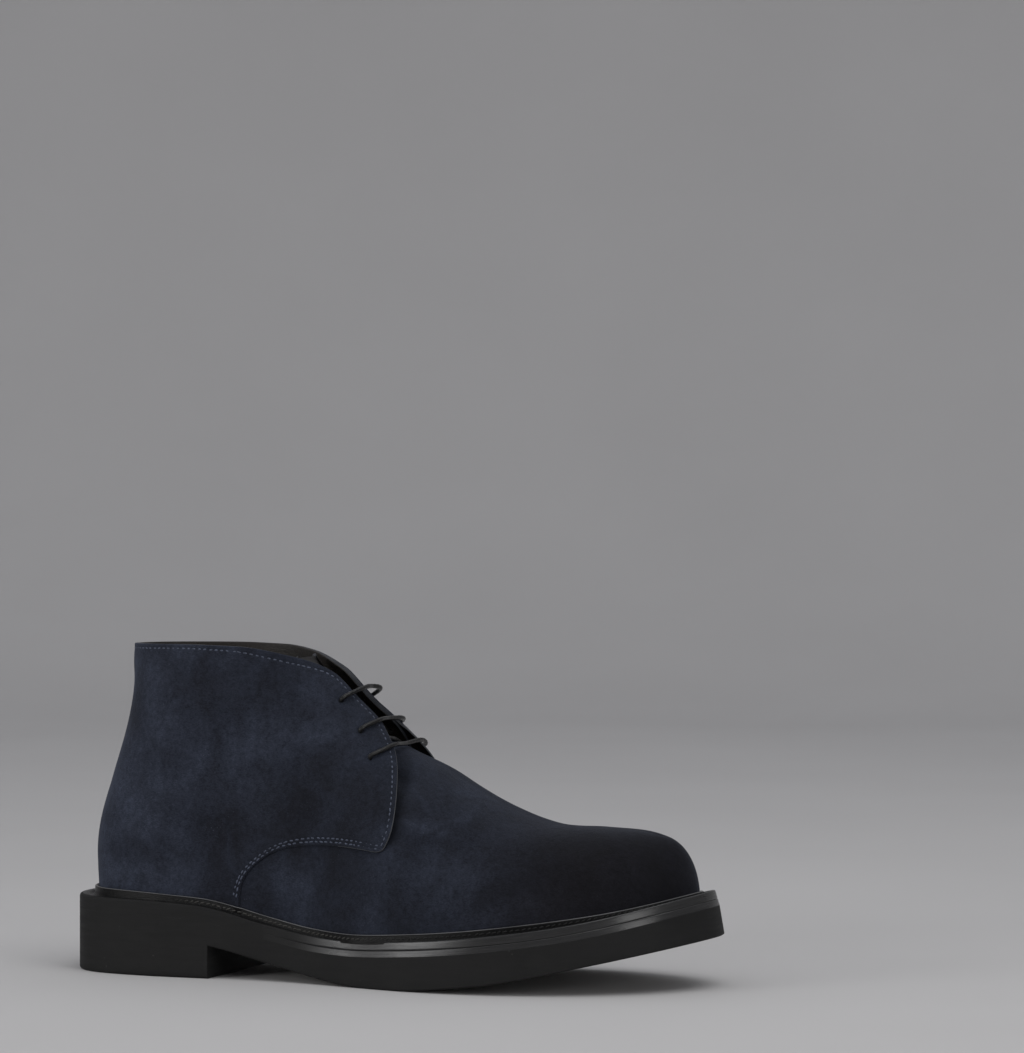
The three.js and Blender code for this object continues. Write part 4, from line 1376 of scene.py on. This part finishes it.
def welt():
    x = ring_xy[:, 0]
    covered = over_quarter(last(foot_turn, .1)[:, 0])
    gap = GAP * .6 + (OVERLAY + .05) * covered
    height = RIB_HEIGHT + .7 * smooth((70 - x) / 60) - .7 * smooth((x - 225) / 60)
    top0 = foot_curve(0, 0, foot_turn)
    away = unit(normal(foot_turn, .12) * np.array([1, 1, .0]))

    def near(out, up):
        """A point out from the upper and up from the welt's top."""
        p = foot_curve(0, np.clip(up, -3, 9), foot_turn)
        return p + away * (gap + out)[:, None]

    edge = wall_point(0.0)
    rib_foot = top0 + away * (gap + RIB_WIDTH + .5)[:, None]
    rib_foot[:, 2] = along(SOLE_TOP, rib_foot[:, 0])

    def flat(share, drop):
        p = edge + (rib_foot - edge) * share
        p[:, 2] = along(SOLE_TOP, p[:, 0]) + (edge[:, 2] - along(SOLE_TOP, edge[:, 0])) * (1 - share) - drop
        return p

    front = front_share(x)
    r_edge = .45 + .9 * smooth((60 - x) / 50)
    notch = .14 * front
    rings, uv = [], []

    def put(p, down):
        rings.append(p)
        uv.append(down)

    put(near(.02, -2.6), 14)
    put(near(.02, .3), 13)
    put(near(.05, height - .8), 12)
    for a in np.linspace(0, math.pi, 9):
        out = RIB_WIDTH * .5 * (1 - math.cos(a)) * .9
        put(near(out, height - .8 + math.sin(a) * .8), 11 - a / 2)
    put(near(RIB_WIDTH * .97, .9), 9)
    put(near(RIB_WIDTH * 1.02, .15), 8.6)
    for share, drop, down in ((.97, .75, 8.2), (.9, .95, 8), (.78, .95, 7.6), (.68, .45, 7.2),
                              (.6, .1, 6.8), (.4, .0, 6), (.2, .0, 5.4)):
        put(flat(share, drop), down)
    for a in np.linspace(0, math.pi / 2, 5):
        share_in = r_edge * (1 - math.sin(a))
        put(wall_point(r_edge * (1 - math.cos(a)), share_in), 5 + a * .2)
    for d in (1.3, 2.1, 2.9):
        put(wall_point(d + .2 * r_edge), 5.3 + d)
    put(wall_point(WELT - .3), 8.7)
    put(wall_point(WELT + .12 * (1 - front), notch), 9)
    put(wall_point(WELT + .12 * (1 - front), 4), 12)
    last_ring = foot_curve(0, 0, foot_turn) + away * (gap + .02)[:, None]
    last_ring[:, 2] = along(SOLE_TOP, last_ring[:, 0]) - WELT + .02
    put(last_ring, 13.5)
    count = len(rings)
    band_from = count - 9

    def looks(j, k):
        if band_from - 3 <= j <= count - 3:
            return 1 if x[k] > POLISHED_FROM else 3
        # rings 7 and 8 lie on the rib's rounded top and carry the painted highlight line
        return 2 if j in (7, 8) else 0

    loop_mesh("storm_welt", rings, [WELT_TOP, BAND, RIB_HIGHLIGHT, RUBBER], looks, "welt", uv, 50)
    # the welt's own stitching, low on the rib's outer side
    flank = near(RIB_WIDTH, 1.15)
    keep = (flank[:, 0] > 58) & (flank[:, 0] < 292)
    order = np.arange(N)[keep]
    rows = []
    for part in np.split(order, np.where(np.diff(order) > 1)[0] + 1):
        if len(part) > 4:
            rows.append((flank[part], unit(away[part] + np.array([0, 0, .25])), 2.6, .35))
    stitches("welt_stitching", rows, DARK_THREAD, .8, .7, .24)


welt()


def midsole():
    x = ring_xy[:, 0]
    front = front_share(x)
    top = WELT + .16 * front + .02
    low = WELT + MIDSOLE + GAP + .04
    inside = 9.0
    rings = [wall_point(top, inside), wall_point(top, .2 * front),
             wall_point(top + .1 * front, .05 * front)]
    rings += [wall_point(d) for d in (top + .35, top + .9, top + 1.5, low - .4, low - .12, low)]
    rings.append(wall_point(low, inside))
    downs = [12, 9.3, 9.4, 9.6, 10.2, 10.8, 11.5, 11.7, 11.8, 14]
    loop_mesh("midsole_edge", rings, [BAND, RUBBER], lambda j, k: 0 if x[k] > POLISHED_FROM else 1,
              "midsole", downs, 50)


midsole()


def outsole():
    K = len(side_out)
    x = ring_xy[:, 0]
    top = WELT + MIDSOLE + GAP + .05
    thick = along(SOLE_TOP, x) - np.maximum(0, along(TREAD, x))
    heel = x <= BREAST_X
    rings = [wall_point(top), wall_point(top + .25)]
    round_fore = np.where(heel, 0.0, 1.0)
    for share in (.12, .3, .5, .7, .86):
        rings.append(wall_point(top + .25 + (thick - top - .25 - EDGE_ROUND) * share))
    for a in np.linspace(0, math.pi / 2, 6):
        short = EDGE_ROUND * round_fore * (1 - math.sin(a))
        straight = EDGE_ROUND * (1 - round_fore) * (1 - a / (math.pi / 2))
        rings.append(wall_point(thick - short - straight, EDGE_ROUND * (1 - math.cos(a)) * round_fore))
    count = len(rings)
    points = list(np.vstack(rings))
    faces = []
    for j in range(count - 1):
        for k in range(N):
            a, b, m = j * N, (j + 1) * N, (k + 1) % N
            faces.append((a + k, b + k, b + m, a + m))

    def add(p):
        points.append(np.asarray(p, float))
        return len(points) - 1

    def across_rows(low_ring, ks, many, z_of, flip):
        """Strips between the two sides at the same station."""
        ids = []
        for k in ks:
            a = low_ring(k)
            b = low_ring((N - k) % N)
            if a == b:
                ids.append([a] * (many + 1))
                continue
            row = [a]
            for s in range(1, many):
                f = s / many
                p = points[a] * (1 - f) + points[b] * f
                q = p.copy()
                q[2] = z_of(p, min(f, 1 - f) * np.linalg.norm(points[a] - points[b]))
                row.append(add(q))
            row.append(b)
            ids.append(row)
        for r in range(len(ids) - 1):
            for s in range(many):
                quad = (ids[r][s], ids[r + 1][s], ids[r + 1][s + 1], ids[r][s + 1])
                faces.append(quad[::-1] if flip else quad)
        return ids

    breast = int(np.argmin(np.abs(side_out[:, 0] - BREAST_X)))
    low = (count - 1) * N

    def tread_z(p, border):
        wave = math.sin(p[0] * 2 * math.pi / TREAD_PITCH + .35 * math.sin(p[1] * .22))
        pattern = smooth((wave - .35) / .25)
        rim = smooth((border - 5.5) / 1.2)
        waist = smooth((p[0] - 118) / 10)
        return (max(0.0, float(along(TREAD, p[0])))
                + TREAD_DEPTH * float(pattern) * float(rim) * float(waist))

    many = 36
    fore_ids = across_rows(lambda k: low + k, range(breast, K), many, tread_z, True)
    # the heel block: its wall runs on from the body's foot down to the ground
    heel_ks = [k for k in range(N) if min(k, N - k) <= breast]
    heel_ks = sorted(heel_ks, key=lambda k: k if k <= breast else k - N)
    heel_top = TREAD[0][1]
    columns = []
    for k in heel_ks:
        top_id = low + k
        base = points[top_id].copy()
        column = [top_id]
        o = np.array([out_xy[k][0], out_xy[k][1], 0])
        at_breast = min(k, N - k) == breast
        for share in (.18, .4, .62, .82):
            p = base.copy()
            p[2] = heel_top * (1 - share)
            column.append(add(p))
        for a in np.linspace(0.2, math.pi / 2, 5):
            p = base - o * HEEL_ROUND * (1 - math.cos(a))
            if at_breast:
                p[0] = base[0]
            p[2] = HEEL_ROUND * (1 - math.sin(a))
            column.append(add(p))
        columns.append(column)
    for c in range(len(columns) - 1):
        for r in range(len(columns[0]) - 1):
            faces.append((columns[c][r], columns[c][r + 1], columns[c + 1][r + 1], columns[c + 1][r]))
    foot_of = {k: col[-1] for k, col in zip(heel_ks, columns)}

    def heel_z(p, border):
        pattern = smooth((math.sin(p[0] * 2 * math.pi / TREAD_PITCH) - .35) / .25)
        rim = smooth((border - 6) / 1.2) * smooth((BREAST_X - p[0] - 6) / 2) * smooth((p[0] - 6) / 2)
        return TREAD_DEPTH * float(pattern) * float(rim)

    heel_rows = across_rows(lambda k: foot_of[k % N], range(0, breast + 1), many, heel_z, False)
    # the breast: from the arch down to the ground between the two sides
    by_station = {k: col for k, col in zip(heel_ks, columns)}
    left, right = by_station[breast], by_station[N - breast]
    top_row = fore_ids[0]
    low_row = heel_rows[-1]
    mesh_rows = [top_row]
    for r in range(1, len(left) - 1):
        row = [left[r]]
        for s in range(1, many):
            f = s / many
            row.append(add(points[left[r]] * (1 - f) + points[right[r]] * f))
        row.append(right[r])
        mesh_rows.append(row)
    mesh_rows.append(low_row)
    for r in range(len(mesh_rows) - 1):
        for s in range(many):
            faces.append((mesh_rows[r][s], mesh_rows[r][s + 1], mesh_rows[r + 1][s + 1], mesh_rows[r + 1][s]))
    # the top face, under the midsole
    across_rows(lambda k: k, range(0, K), 2, lambda p, b: p[2], False)
    p, f, _ = merge(np.array(points), faces)
    obj = make_object("sole_unit", p, f, [RUBBER], sharp=42)
    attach(obj, "root")
    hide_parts("outsole")


outsole()

# ------------------------------------------------------------------ tidy

for obj in scene.objects:
    if obj.type == "MESH" and "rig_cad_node" not in obj and obj.name != "floor":
        bm = bmesh.new()
        bm.from_mesh(obj.data)
        bmesh.ops.recalc_face_normals(bm, faces=bm.faces)
        bm.to_mesh(obj.data)
        bm.free()
